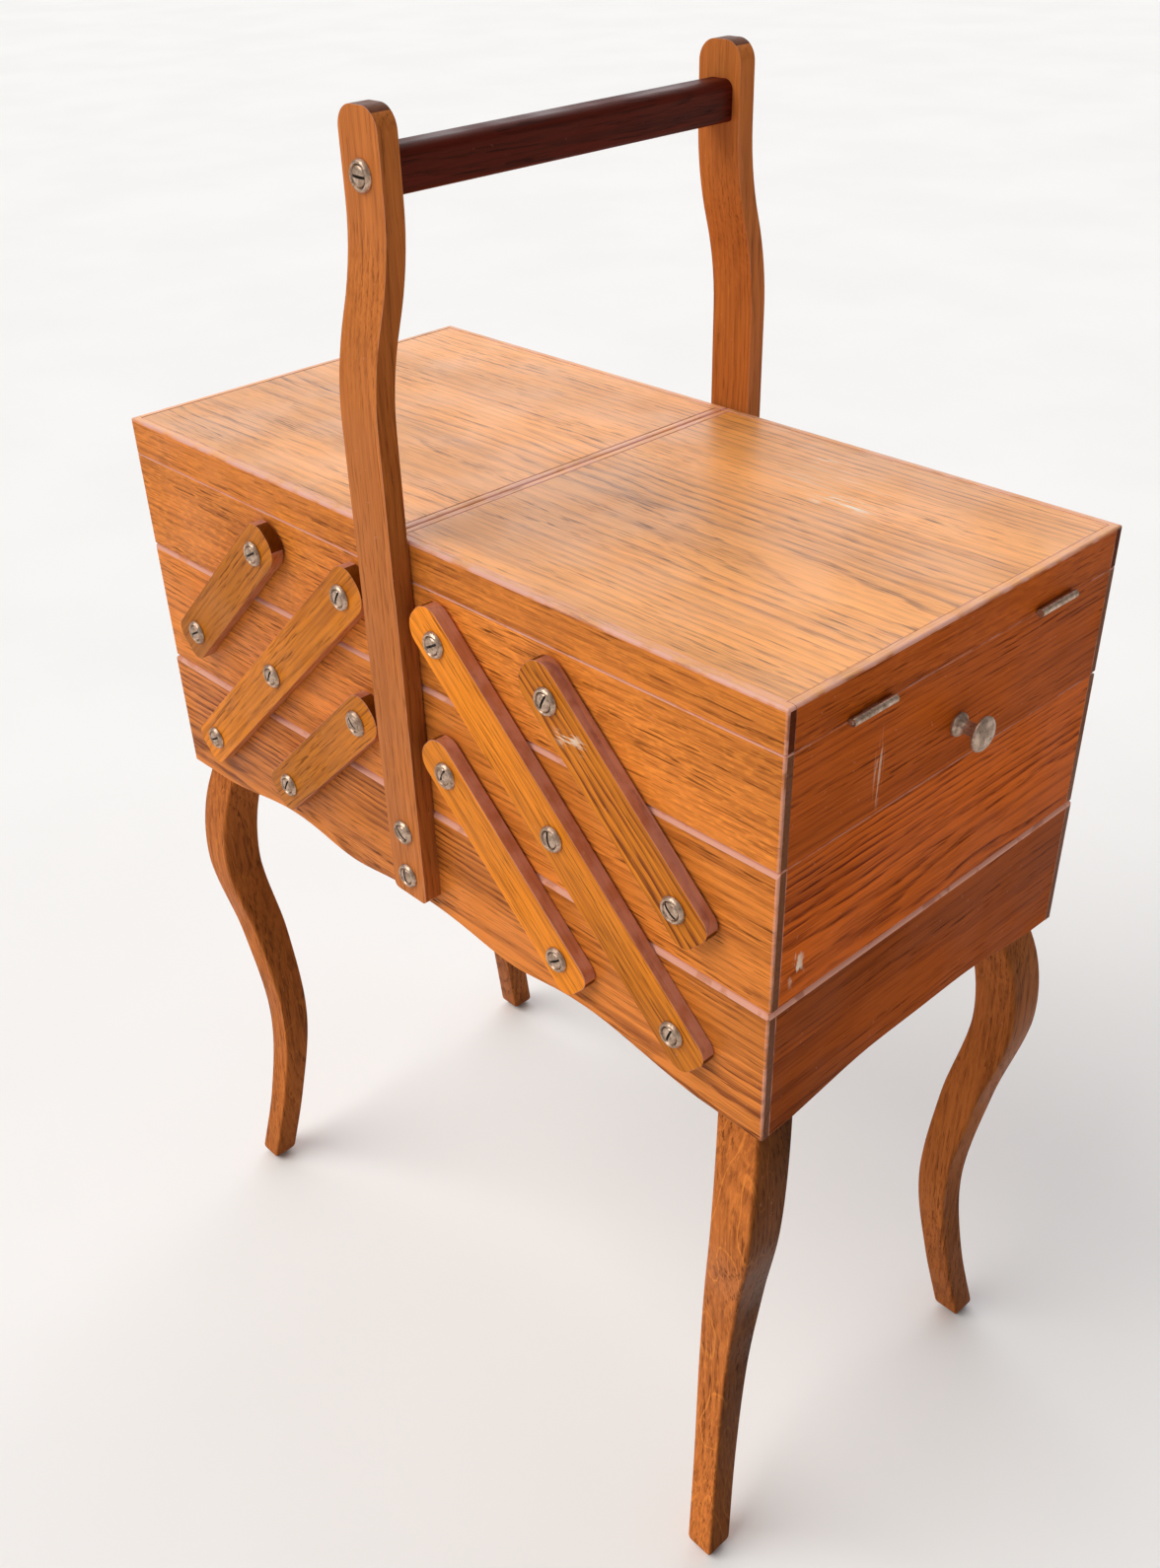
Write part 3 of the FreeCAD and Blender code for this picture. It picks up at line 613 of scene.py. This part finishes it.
def lathe(w, outline, sides):
    """A turned solid about Z: a sheet of points bent round by the outline."""
    steps = len(outline)
    reach = max(radius for radius, _ in outline)
    low = min(level for _, level in outline)
    rise = max(level for _, level in outline) - low
    columns = w.plus(sides, 1.0)
    sheet = w.add("GeometryNodeMeshGrid", {"Vertices X": columns, "Vertices Y": steps}, "Mesh")
    index = w.add("GeometryNodeInputIndex")
    row = w.math("MODULO", index, float(steps))
    column = w.math("FLOOR", w.over(index, float(steps)))
    share = w.over(row, float(steps - 1))
    marks = [i / (steps - 1) for i in range(steps)]
    out = w.curve(share, [(m, r / reach) for m, (r, _) in zip(marks, outline)], "VECTOR")
    up = w.curve(share, [(m, (h - low) / rise) for m, (_, h) in zip(marks, outline)], "VECTOR")
    angle = w.times(w.over(column, sides), math.tau)
    radius = w.times(out, reach)
    level = w.plus(w.times(up, rise), low)
    x = w.times(radius, w.math("COSINE", angle))
    y = w.times(radius, w.math("SINE", angle))
    place = w.xyz(x, y, level)
    bent = w.add("GeometryNodeSetPosition", {"Geometry": sheet, "Position": place})
    return w.add("GeometryNodeMergeByDistance", {"Geometry": bent, "Distance": 0.00001})


def place_copies(w, given, shape):
    """Copies of a shape on the given points, turned and faced as the points say."""
    facing = w.add("GeometryNodeInputNamedAttribute", {"Name": "facing"}, data_type="FLOAT_VECTOR")
    turn = w.add("GeometryNodeInputNamedAttribute", {"Name": "turn"}, data_type="FLOAT")
    spin = w.add("FunctionNodeAxisAngleToRotation", {"Axis": (0, 0, 1), "Angle": turn})
    aim = w.add("FunctionNodeAlignRotationToVector", {"Vector": facing}, axis="Z")
    rotation = w.add("FunctionNodeRotateRotation", {"Rotation": aim, "Rotate By": spin},
                     rotation_space="LOCAL")
    copies = w.add("GeometryNodeInstanceOnPoints",
                   {"Points": given["Geometry"], "Instance": shape, "Rotation": rotation})
    solid = w.add("GeometryNodeRealizeInstances", {"Geometry": copies})
    w.add("NodeGroupOutput", {"Geometry": solid})


def screw_tree():
    """Slotted screws in cup washers."""
    w, given = node_group("slotted screws", {
        "Sides": ("NodeSocketInt", 40),
        "Slot Width": ("NodeSocketFloat", 0.0011),
        "Slot Depth": ("NodeSocketFloat", 0.0009),
        "Head Height": ("NodeSocketFloat", 0.0024),
        "Material": ("NodeSocketMaterial", None),
        "Slot Material": ("NodeSocketMaterial", None),
    })
    screw = lathe(w, SCREW_OUTLINE, given["Sides"])
    screw = w.dress(screw, given["Material"])
    size = w.xyz(SLOT_REACH, given["Slot Width"], w.times(given["Slot Depth"], 2.0))
    bar = w.add("GeometryNodeMeshCube", {"Size": size}, "Mesh")
    lift = w.xyz(z=given["Head Height"])
    bar = w.add("GeometryNodeTransform", {"Geometry": bar, "Translation": lift})
    # The slot's faces take the slot material, a dark painted shade in the recess.
    bar = w.dress(bar, given["Slot Material"])
    cut = w.add("GeometryNodeMeshBoolean", {"Mesh 1": screw, "Mesh 2": bar}, "Mesh",
                operation="DIFFERENCE", solver="EXACT")
    washer = lathe(w, WASHER_OUTLINE, given["Sides"])
    washer = w.dress(washer, given["Material"])
    pair = w.add("GeometryNodeJoinGeometry")
    w.tree.links.new(washer, pair.node.inputs[0])
    w.tree.links.new(cut, pair.node.inputs[0])
    place_copies(w, given, pair)
    return w


def knob_tree():
    """Turned mushroom knobs."""
    w, given = node_group("turned knobs", {
        "Sides": ("NodeSocketInt", 48),
        "Material": ("NodeSocketMaterial", None),
    })
    knob = lathe(w, KNOB_OUTLINE, given["Sides"])
    knob = w.dress(knob, given["Material"])
    place_copies(w, given, knob)
    return w


def smooth_line(stations, steps=32):
    """Levels at even steps along a smooth line through (place, level) stations."""
    spans = [b[0] - a[0] for a, b in zip(stations, stations[1:])]
    slopes = [(b[1] - a[1]) / span for a, b, span in zip(stations, stations[1:], spans)]
    tilts = [slopes[0]]
    for i in range(1, len(spans)):
        shared = spans[i] * slopes[i - 1] + spans[i - 1] * slopes[i]
        tilts.append(shared / (spans[i - 1] + spans[i]))
    tilts.append(slopes[-1])
    line = []
    for step in range(steps + 1):
        place = step / steps
        i = max(k for k in range(len(spans)) if stations[k][0] <= place)
        t = (place - stations[i][0]) / spans[i]
        start, end = stations[i][1], stations[i + 1][1]
        level = start * (1 + 2 * t) * (1 - t) ** 2 + end * t * t * (3 - 2 * t)
        level += spans[i] * (tilts[i] * t * (1 - t) ** 2 + tilts[i + 1] * t * t * (t - 1))
        line.append((place, level))
    return line


def leg_tree():
    """A cabriole leg sawn to one curve from two faces, its corners and its foot rounded."""
    w, given = node_group("cabriole leg", {
        "Height": ("NodeSocketFloat", 0.307),
        "Stub": ("NodeSocketFloat", 0.012),
        "Corner": ("NodeSocketFloat", 0.0017),
        "Foot": ("NodeSocketFloat", 0.005),
        "Splay": ("NodeSocketFloat", LEG_SPLAY),
        "Centre": ("NodeSocketVector", (0.2, 0.1, 0.0)),
        "Side": ("NodeSocketVector", (1.0, 1.0, 1.0)),
        "Rings": ("NodeSocketInt", 110),
        "Material": ("NodeSocketMaterial", None),
    })
    widest = max(width for _, _, width in LEG_STATIONS)
    line = w.add("GeometryNodeCurvePrimitiveLine", {"Start": (0, 0, 0), "End": (0, 0, 1)})
    line = w.add("GeometryNodeResampleCurve", {"Curve": line, "Count": given["Rings"]})
    square = w.add("GeometryNodeCurvePrimitiveQuadrilateral", {"Width": 1.0, "Height": 1.0})
    round_share = w.over(given["Corner"], widest * 0.85)
    section = w.add("GeometryNodeFilletCurve", {"Curve": square, "Count": 5,
                                                "Radius": round_share, "Limit Radius": True},
                    mode="POLY")
    tube = w.add("GeometryNodeCurveToMesh", {"Curve": line, "Profile Curve": section,
                                             "Fill Caps": True})
    here = w.add("GeometryNodeInputPosition")
    parts = w.parts(here)
    spaced = w.math("POWER", w.math("MAXIMUM", parts[2], 0.0), 1.5)
    level = w.times(spaced, w.plus(given["Height"], given["Stub"]))
    share = w.math("MINIMUM", w.over(level, given["Height"]), 1.0)
    low, high = LEG_SHIFT_SPAN
    shift_line = smooth_line([(s, (shift - low) / (high - low)) for s, shift, _ in LEG_STATIONS])
    shift = w.plus(w.times(w.curve(share, shift_line, "AUTO"), high - low), low)
    width_line = smooth_line([(s, width / widest) for s, _, width in LEG_STATIONS])
    width = w.times(w.curve(share, width_line, "AUTO"), widest)
    rise = w.math("MINIMUM", w.over(level, given["Foot"]), 1.0)
    drop = w.less(1.0, rise)
    arc = w.math("SQRT", w.less(1.0, w.times(drop, drop)))
    tuck = w.times(w.less(1.0, arc), given["Foot"])
    width = w.less(width, w.times(tuck, 2.0))
    centre = w.parts(given["Centre"])
    side = w.parts(given["Side"])
    lean = w.times(given["Splay"], w.less(1.0, share))
    x = w.plus(centre[0], shift, w.times(parts[0], width))
    y = w.plus(centre[1], shift, w.times(parts[1], width), lean)
    place = w.xyz(w.times(x, side[0]), w.times(y, side[1]), level)
    leg = w.add("GeometryNodeSetPosition", {"Geometry": tube, "Position": place})
    leg = w.add("GeometryNodeRealizeInstances", {"Geometry": leg})
    leg = w.dress(leg, given["Material"])
    w.add("NodeGroupOutput", {"Geometry": leg})
    return w


def points_piece(name, rows):
    """An object of loose points that carry where they face and how far they are turned."""
    mesh = bpy.data.meshes.new(name)
    mesh.from_pydata([place for place, _, _ in rows], [], [])
    mark(mesh, "facing", [v for _, aim, _ in rows for v in aim])
    mark(mesh, "turn", [angle for _, _, angle in rows])
    return placed(name, mesh)


def outward(piece):
    """Faces pointing out of every closed shell, and smooth rounds."""
    bm = merged(piece.data, 1e-7)
    bmesh.ops.recalc_face_normals(bm, faces=bm.faces)
    bm.to_mesh(piece.data)
    bm.free()
    piece.data.shade_smooth()
    piece.data.set_sharp_from_angle(angle=math.radians(38))


SCREW_NODES = [node for node in SLOT_OF if node.endswith("_screws")]


# ---- Operators

class SEWINGBOX_OT_base(bpy.types.Operator):
    """Finish the base's boards and floor"""
    bl_idname = "sewingbox.base"
    bl_label = "Base"

    def execute(self, context):
        arris = context.scene.sewing_box_sizes.case_arris
        for board, along, facing, pith, figure, tone in (
                ("front_panel", X_AXIS, -Y_AXIS, (0.022, 0.020, 0.31), 1.5, -0.06),
                ("back_panel", X_AXIS, Y_AXIS, (0.055, 0.030, 1.7), 1.0, 0.0),
                ("left_end", Y_AXIS, -X_AXIS, (0.070, 0.012, 2.3), 0.5, 0.0),
                ("right_end", Y_AXIS, X_AXIS, (0.085, 0.010, 3.9), 0.45, -0.34)):
            plank(f"base_{board}", along, facing, pith, arris, figure=figure, tone=tone,
                  rim=TOP_PAINTED_SHEEN)
        plank("base_floor", X_AXIS, Z_AXIS, (0.03, 0.06, 5.2), arris, segments=1)
        return {"FINISHED"}


class SEWINGBOX_OT_legs(bpy.types.Operator):
    """Grow the four cabriole legs"""
    bl_idname = "sewingbox.legs"
    bl_label = "Legs"

    def execute(self, context):
        sizes = context.scene.sewing_box_sizes
        tree = leg_tree()
        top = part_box("base_floor")[0].z
        half = LEG_STATIONS[-1][2] / 2
        centre = (*(edge - half for edge in base_inside()), 0.0)
        piths = ((0.030, 0.012, 0.4), (0.020, 0.025, 1.9), (0.012, 0.034, 2.8), (0.028, 0.016, 4.1))
        # Each leg's tone, shaded (painted shade on its faces toward +X) and fleck.
        looks = ((0.3, 0.55, 0.4), (0.4, 1.05, 0.9), (-0.1, 0.2, 0.2), (0.0, 0.3, 0.2))
        corners = [(row, hand) for row in ROWS for hand in HANDS]
        for ((row, side_y), (hand, side_x)), pith, look in zip(corners, piths, looks):
            node = f"leg_{row}_{hand}"
            piece = points_piece(node + "_finished", [((0, 0, 0), (0, 0, 1), 0.0)])
            grown(piece, tree, {
                "Height": top - LEG_STUB, "Stub": LEG_STUB, "Corner": sizes.leg_corner,
                "Foot": sizes.leg_foot, "Splay": LEG_SPLAY, "Centre": centre,
                "Side": (float(side_x), float(side_y), 1.0), "Rings": sizes.leg_rings,
                "Material": materials()["oak_legs"],
            })
            outward(piece)
            tone, shaded, fleck = look
            lay_grain(piece.data, Z_AXIS, Vector((0, side_y, 0)), pith, tone=tone, figure=0.6,
                      fleck=fleck, worn_rounds=False, shaded=shaded)
            settle(piece, node)
        return {"FINISHED"}


def base_inside():
    """How far the base's inner faces stand from the middle, along the box and across it."""
    low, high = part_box("base_right_end")
    return low.x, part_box("base_back_panel")[1].y - (high.x - low.x)


class SEWINGBOX_OT_handle(bpy.types.Operator):
    """Finish the handle's uprights and its crossbar"""
    bl_idname = "sewingbox.handle"
    bl_label = "Handle"

    def execute(self, context):
        sizes = context.scene.sewing_box_sizes
        # The front upright's faces toward +X get painted shade through shaded.
        plank("handle_upright_front", Z_AXIS, -Y_AXIS, (0.034, 0.014, 0.9), sizes.upright_arris,
              segments=3, figure=0.55, tone=0.05, worn_rounds=False, shaded=0.3)
        plank("handle_upright_back", Z_AXIS, Y_AXIS, (0.028, 0.020, 2.1), sizes.upright_arris,
              segments=3, figure=0.9, tone=-0.04, worn_rounds=False)
        plank("handle_crossbar", Y_AXIS, X_AXIS, (0.02, 0.03, 3.3), sizes.grip_arris, figure=0.8,
              worn_rounds=False)
        return {"FINISHED"}


class SEWINGBOX_OT_arms(bpy.types.Operator):
    """Finish the folding arms"""
    bl_idname = "sewingbox.arms"
    bl_label = "Folding Arms"

    def execute(self, context):
        arris = context.scene.sewing_box_sizes.arm_arris
        looks = {
            "left_long": ((0.030, 0.030, 0.2), -0.06, 0.6, 0.0),
            "left_inner": ((0.050, 0.020, 1.1), -0.26, 0.5, 0.0),
            "left_outer": ((0.040, 0.030, 2.2), -0.32, 0.6, 0.0),
            "right_long": ((0.060, 0.020, 3.1), -0.02, 0.45, -0.27),
            "right_inner": ((0.070, 0.010, 4.4), 0.10, 0.12, 0.0),
            "right_outer": ((0.020, 0.020, 5.3), -0.2, 1.8, 0.0),
        }
        for name, (pith, tone, figure, fade) in looks.items():
            for row, side_y in ROWS:
                node = f"{name}_arm_{row}"
                start = (pith[0], pith[1], pith[2] + (0 if side_y < 0 else BACK_GRAIN))
                mesh = eased(frame["nodes"][node].data, arris, 3)
                along = longest_direction(mesh)
                lay_grain(mesh, along, Vector((0, side_y, 0)), start, tone=tone, figure=figure,
                          fade=fade, worn_rounds=False)
                mark_side_reflection(mesh, along)
                settle_mesh(node, mesh)
        return {"FINISHED"}


def longest_direction(mesh):
    """The way a flat arm runs, in the upright plane of its face."""
    points = [v.co for v in mesh.vertices]
    middle = sum(points, Vector()) / len(points)
    xx = sum((p.x - middle.x) ** 2 for p in points)
    zz = sum((p.z - middle.z) ** 2 for p in points)
    xz = sum((p.x - middle.x) * (p.z - middle.z) for p in points)
    angle = 0.5 * math.atan2(2 * xz, xx - zz)
    return Vector((math.cos(angle), 0, math.sin(angle)))


def mark_side_reflection(mesh, along):
    """The arm's narrow sides are marked for a purplish painted reflection of the sky and the wear
    colour, most on the upper one.
    """
    wear = mesh.attributes["wear"]
    for index, face in enumerate(mesh.polygons):
        if 0.2 < abs(face.normal.y) < 0.97 and face.normal.z > 0:
            wear.data[index].value = TOP_PAINTED_SHEEN
        elif abs(face.normal.y) < 0.5 and abs(face.normal.dot(along)) < END_GRAIN:
            wear.data[index].value = 1.0 if face.normal.z > 0 else 0.5


class SEWINGBOX_OT_trays(bpy.types.Operator):
    """Finish the boards and floors of the four trays"""
    bl_idname = "sewingbox.trays"
    bl_label = "Trays"

    def execute(self, context):
        arris = context.scene.sewing_box_sizes.case_arris
        seed = 11.0
        for hand, side in HANDS:
            for tier, front_pith, end_pith, figure, fleck, end_figure, end_tone in (
                    ("mid", (0.090, 0.020, 0), (0.024, 0.026, 0), 0.32, 0.3, 1.5, 0.2),
                    ("top", (0.120, 0.004, 0), (0.100, 0.008, 0), 0.25, 1.0, 0.4, -0.06)):
                tray = f"{hand}_{tier}_tray"
                for name, side_y in ROWS:
                    seed += SEED_STEP
                    plank(f"{tray}_{name}", X_AXIS, Vector((0, side_y, 0)),
                          (front_pith[0], front_pith[1], seed), arris, figure=figure, fleck=fleck,
                          tone=0.07 if tier == "mid" else 0.0, rim=TOP_PAINTED_SHEEN)
                for name, way in (("outer_end", side), ("inner_end", -side)):
                    seed += SEED_STEP
                    plank(f"{tray}_{name}", Y_AXIS, Vector((way, 0, 0)),
                          (end_pith[0], end_pith[1], seed), arris, figure=end_figure, tone=end_tone)
                seed += SEED_STEP
                plank(f"{tray}_floor", X_AXIS, Z_AXIS, (0.04, 0.07, seed), arris, segments=1)
        return {"FINISHED"}


class SEWINGBOX_OT_lids(bpy.types.Operator):
    """Finish the lids' panels and rims"""
    bl_idname = "sewingbox.lids"
    bl_label = "Lids"

    def execute(self, context):
        arris = context.scene.sewing_box_sizes.lid_arris
        for hand, pith, seed in (("left", (0.045, 0.055, 37.0), 49.0),
                                 ("right", (0.018, 0.036, 43.0), 51.0)):
            plank(f"{hand}_lid_panel", X_AXIS, Z_AXIS, pith, arris, figure=0.85)
            self.rim(hand, arris, seed)
        return {"FINISHED"}

    def rim(self, hand, arris, seed):
        """The four rim boards, each with its grain along it, joined into one piece."""
        node = f"{hand}_lid_rim"
        low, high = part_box(node)
        end_low, end_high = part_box("base_right_end")
        wall = end_high.x - end_low.x
        reach = high.y - (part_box("base_back_panel")[1].y - end_high.y)
        boards = {"front": [], "back": [], "low": [], "high": []}
        source = frame["nodes"][node].data
        for face in source.polygons:
            inside = face.center - face.normal * 0.0001
            if abs(inside.y) < reach and (inside.x < low.x + wall or inside.x > high.x - wall):
                boards["low" if inside.x < low.x + wall else "high"].append(face)
            else:
                boards["front" if inside.y < 0 else "back"].append(face)
        facings = {"front": -Y_AXIS, "back": Y_AXIS, "low": -X_AXIS, "high": X_AXIS}
        parts = []
        for number, (name, faces) in enumerate(boards.items()):
            mesh = bpy.data.meshes.new(f"{node}_{name}")
            corners = [source.vertices[v].co for face in faces for v in face.vertices]
            triangles = [(3 * i, 3 * i + 1, 3 * i + 2) for i in range(len(faces))]
            mesh.from_pydata(corners, [], triangles)
            mesh = eased(mesh, arris, 2)
            lay_grain(mesh, Y_AXIS if name in ("low", "high") else X_AXIS, facings[name],
                      (0.11, 0.006, seed + 1.3 * number), figure=0.35, fleck=0.7,
                      tone=-0.05 if name in ("low", "high") else 0.0)
            # The rim's rounds take more of the wear colour and its top faces some, for rubbed edges
            # and a painted band of sheen.
            wear = mesh.attributes["wear"]
            for index, face in enumerate(mesh.polygons):
                if wear.data[index].value > 0.5:
                    wear.data[index].value = 1.5
                elif face.normal.z > 0.5:
                    wear.data[index].value = 0.55
            for slot in ("oak_fronts", "oak_lids", "oak_ends"):
                mesh.materials.append(materials()[slot])
            for face in mesh.polygons:
                if face.normal.z > 0.5:
                    face.material_index = 1
                elif abs(face.normal.x) > 0.7:
                    face.material_index = 2
            parts.append(finished(mesh.name, mesh))
        with bpy.context.temp_override(active_object=parts[0], selected_editable_objects=parts,
                                       selected_objects=parts, object=parts[0]):
            bpy.ops.object.join()
        piece = parts[0]
        gap = min(abs(low.x), abs(high.x))
        for vert in piece.data.vertices:
            if abs(vert.co.x) < gap + 0.001:
                vert.co.x -= math.copysign(gap * SEAM_SHARE, vert.co.x)
        piece.name = piece.data.name = node + "_finished"
        settle(piece, node, keep=True)


class SEWINGBOX_OT_screws(bpy.types.Operator):
    """Set the slotted screws in their cup washers"""
    bl_idname = "sewingbox.screws"
    bl_label = "Screws"

    def execute(self, context):
        sizes = context.scene.sewing_box_sizes
        tree = screw_tree()
        for node in SCREW_NODES:
            rows = self.seats(node)
            piece = points_piece(node + "_finished", rows)
            grown(piece, tree, {"Sides": sizes.turned_sides, "Material": materials()["aged_nickel"],
                                "Slot Material": materials()["slot_grime"]})
            outward(piece)
            settle(piece, node, keep=True)
        return {"FINISHED"}

    def seats(self, node):
        """Where each screw sits, which way it faces and how far it is turned."""
        spots = {}
        for low, high in islands(node):
            middle = (low + high) / 2
            side = 0 if node == "leg_screws" else (1 if middle.y > 0 else -1)
            key = (side, round(middle.x, 3), round(middle.y if side == 0 else middle.z, 3))
            top = high.z if side == 0 else max(abs(low.y), abs(high.y))
            spots[key] = max(top, spots.get(key, 0.0))
        rows = []
        for (side, first, second), top in sorted(spots.items()):
            seat = top - CROWN
            turn = SLOT_TURN * len(rows) + FIRST_SLOT
            if side == 0:
                rows.append(((first, second, seat), (0, 0, 1), turn))
            else:
                rows.append(((first, side * seat, second), (0, side, 0), turn))
        if not rows:
            raise RuntimeError(f"{node} holds no screws")
        return rows


class SEWINGBOX_OT_knobs(bpy.types.Operator):
    """Turn the two knobs"""
    bl_idname = "sewingbox.knobs"
    bl_label = "Knobs"

    def execute(self, context):
        tree = knob_tree()
        for hand, side in HANDS:
            node = f"{hand}_knob"
            low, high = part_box(node)
            middle = (low + high) / 2
            tip = high.x if side > 0 else low.x
            seat = tip - side * max(level for _, level in KNOB_OUTLINE)
            spot = ((seat, middle.y, middle.z), (side, 0, 0), 0.0)
            piece = points_piece(node + "_finished", [spot])
            grown(piece, tree, {"Material": materials()["dark_pewter"]})
            outward(piece)
            settle(piece, node)
        return {"FINISHED"}


class SEWINGBOX_OT_hinges(bpy.types.Operator):
    """Finish the lid hinges"""
    bl_idname = "sewingbox.hinges"
    bl_label = "Hinges"

    def execute(self, context):
        arris = context.scene.sewing_box_sizes.hinge_arris
        for hand, _ in HANDS:
            for node in (f"{hand}_tray_hinge_leaves", f"{hand}_lid_hinge_leaves"):
                mesh = eased(frame["nodes"][node].data, arris, 1, sharp=50)
                settle_mesh(node, mesh)
        return {"FINISHED"}


class SEWINGBOX_OT_stage(bpy.types.Operator):
    """Set the studio floor, the lights and the camera"""
    bl_idname = "sewingbox.stage"
    bl_label = "Stage"

    def execute(self, context):
        scene = context.scene
        self.floor(scene)
        world = bpy.data.worlds.new("studio")
        world.use_nodes = True
        sky = world.node_tree.nodes["Background"].inputs
        sky["Color"].default_value = (0.95, 0.97, 1.0, 1)
        sky["Strength"].default_value = 0.32
        scene.world = world
        self.lamp("key", (-1.0, -1.9, 2.3), 2.0, 50, (1.0, 0.97, 0.93))
        self.lamp("over", (-0.62, 0.55, 0.72), 1.35, 75, (0.96, 0.97, 1.0))
        self.camera(scene)
        scene.view_settings.view_transform = "Standard"
        scene.view_settings.look = "None"
        scene.view_settings.exposure = 0.0
        return {"FINISHED"}

    def floor(self, scene):
        """A wide pale floor."""
        bm = bmesh.new()
        bmesh.ops.create_grid(bm, x_segments=8, y_segments=8, size=40.0)
        mesh = bpy.data.meshes.new("studio_floor")
        bm.to_mesh(mesh)
        bm.free()
        floor = placed("studio_floor", mesh)
        material, w = new_material("pale studio floor")
        place = w.add("ShaderNodeTexCoord", output="Object")
        tint = w.ease(w.noise(place, (3, 3, 3), 3.0), 0.3, 0.7, 0.97, 1.0)
        body = w.scaled(scene.sewing_box_colours.floor, tint)
        finish_material(w, {"Base Color": body, "Roughness": 0.85})
        mesh.materials.append(material)

    def lamp(self, name, towards, strength, breadth, tint):
        """A broad soft light a long way off, in the given direction."""
        light = bpy.data.lights.new(name, "SUN")
        light.angle = math.radians(breadth)
        light.energy = strength
        light.color = tint
        lamp = placed(name, light)
        lamp.rotation_euler = Vector(towards).to_track_quat("Z", "Y").to_euler()

    def camera(self, scene):
        """A camera before the right-hand front corner, looking down over the lids."""
        lens = bpy.data.cameras.new("camera")
        lens.lens = 35.03
        lens.sensor_width = 36.0
        lens.shift_x, lens.shift_y = 0.0156, 0.0389
        lens.clip_start, lens.clip_end = 0.01, 100
        azimuth, elevation, roll = (math.radians(v) for v in (48.47, 34.75, -2.38))
        back = Vector((math.sin(azimuth) * math.cos(elevation),
                       -math.cos(azimuth) * math.cos(elevation), math.sin(elevation)))
        right = (-back).cross(Z_AXIS).normalized()
        up = right.cross(-back)
        across = math.cos(roll) * right + math.sin(roll) * up
        upright = -math.sin(roll) * right + math.cos(roll) * up
        camera = placed("camera", lens)
        turn = Matrix((across, upright, back)).transposed().to_4x4()
        camera.matrix_world = Matrix.Translation((0.49205, -0.45637, 0.76340)) @ turn
        scene.camera = camera


OPERATORS = (
    SEWINGBOX_OT_base, SEWINGBOX_OT_legs, SEWINGBOX_OT_handle, SEWINGBOX_OT_arms,
    SEWINGBOX_OT_trays, SEWINGBOX_OT_lids, SEWINGBOX_OT_screws, SEWINGBOX_OT_knobs,
    SEWINGBOX_OT_hinges, SEWINGBOX_OT_stage,
)


class SEWINGBOX_PT_panel(bpy.types.Panel):
    """The sewing box's sizes, colours and steps"""
    bl_idname = "SEWINGBOX_PT_panel"
    bl_label = "Sewing Box"
    bl_space_type = "VIEW_3D"
    bl_region_type = "UI"
    bl_category = "Sewing Box"

    def draw(self, context):
        for group in (context.scene.sewing_box_sizes, context.scene.sewing_box_colours):
            box = self.layout.box()
            for name in group.__annotations__:
                box.prop(group, name)
        for operator in OPERATORS:
            self.layout.operator(operator.bl_idname)


CLASSES = (SewingBoxSizes, SewingBoxColours, *OPERATORS, SEWINGBOX_PT_panel)


def register():
    for entry in CLASSES:
        bpy.utils.register_class(entry)
    bpy.types.Scene.sewing_box_sizes = bpy.props.PointerProperty(type=SewingBoxSizes)
    bpy.types.Scene.sewing_box_colours = bpy.props.PointerProperty(type=SewingBoxColours)


def unregister():
    del bpy.types.Scene.sewing_box_colours
    del bpy.types.Scene.sewing_box_sizes
    for entry in reversed(CLASSES):
        bpy.utils.unregister_class(entry)


def main():
    register()
    for operator in OPERATORS:
        getattr(bpy.ops.sewingbox, operator.bl_idname.split(".")[1])()


if __name__ == "__main__":
    main()
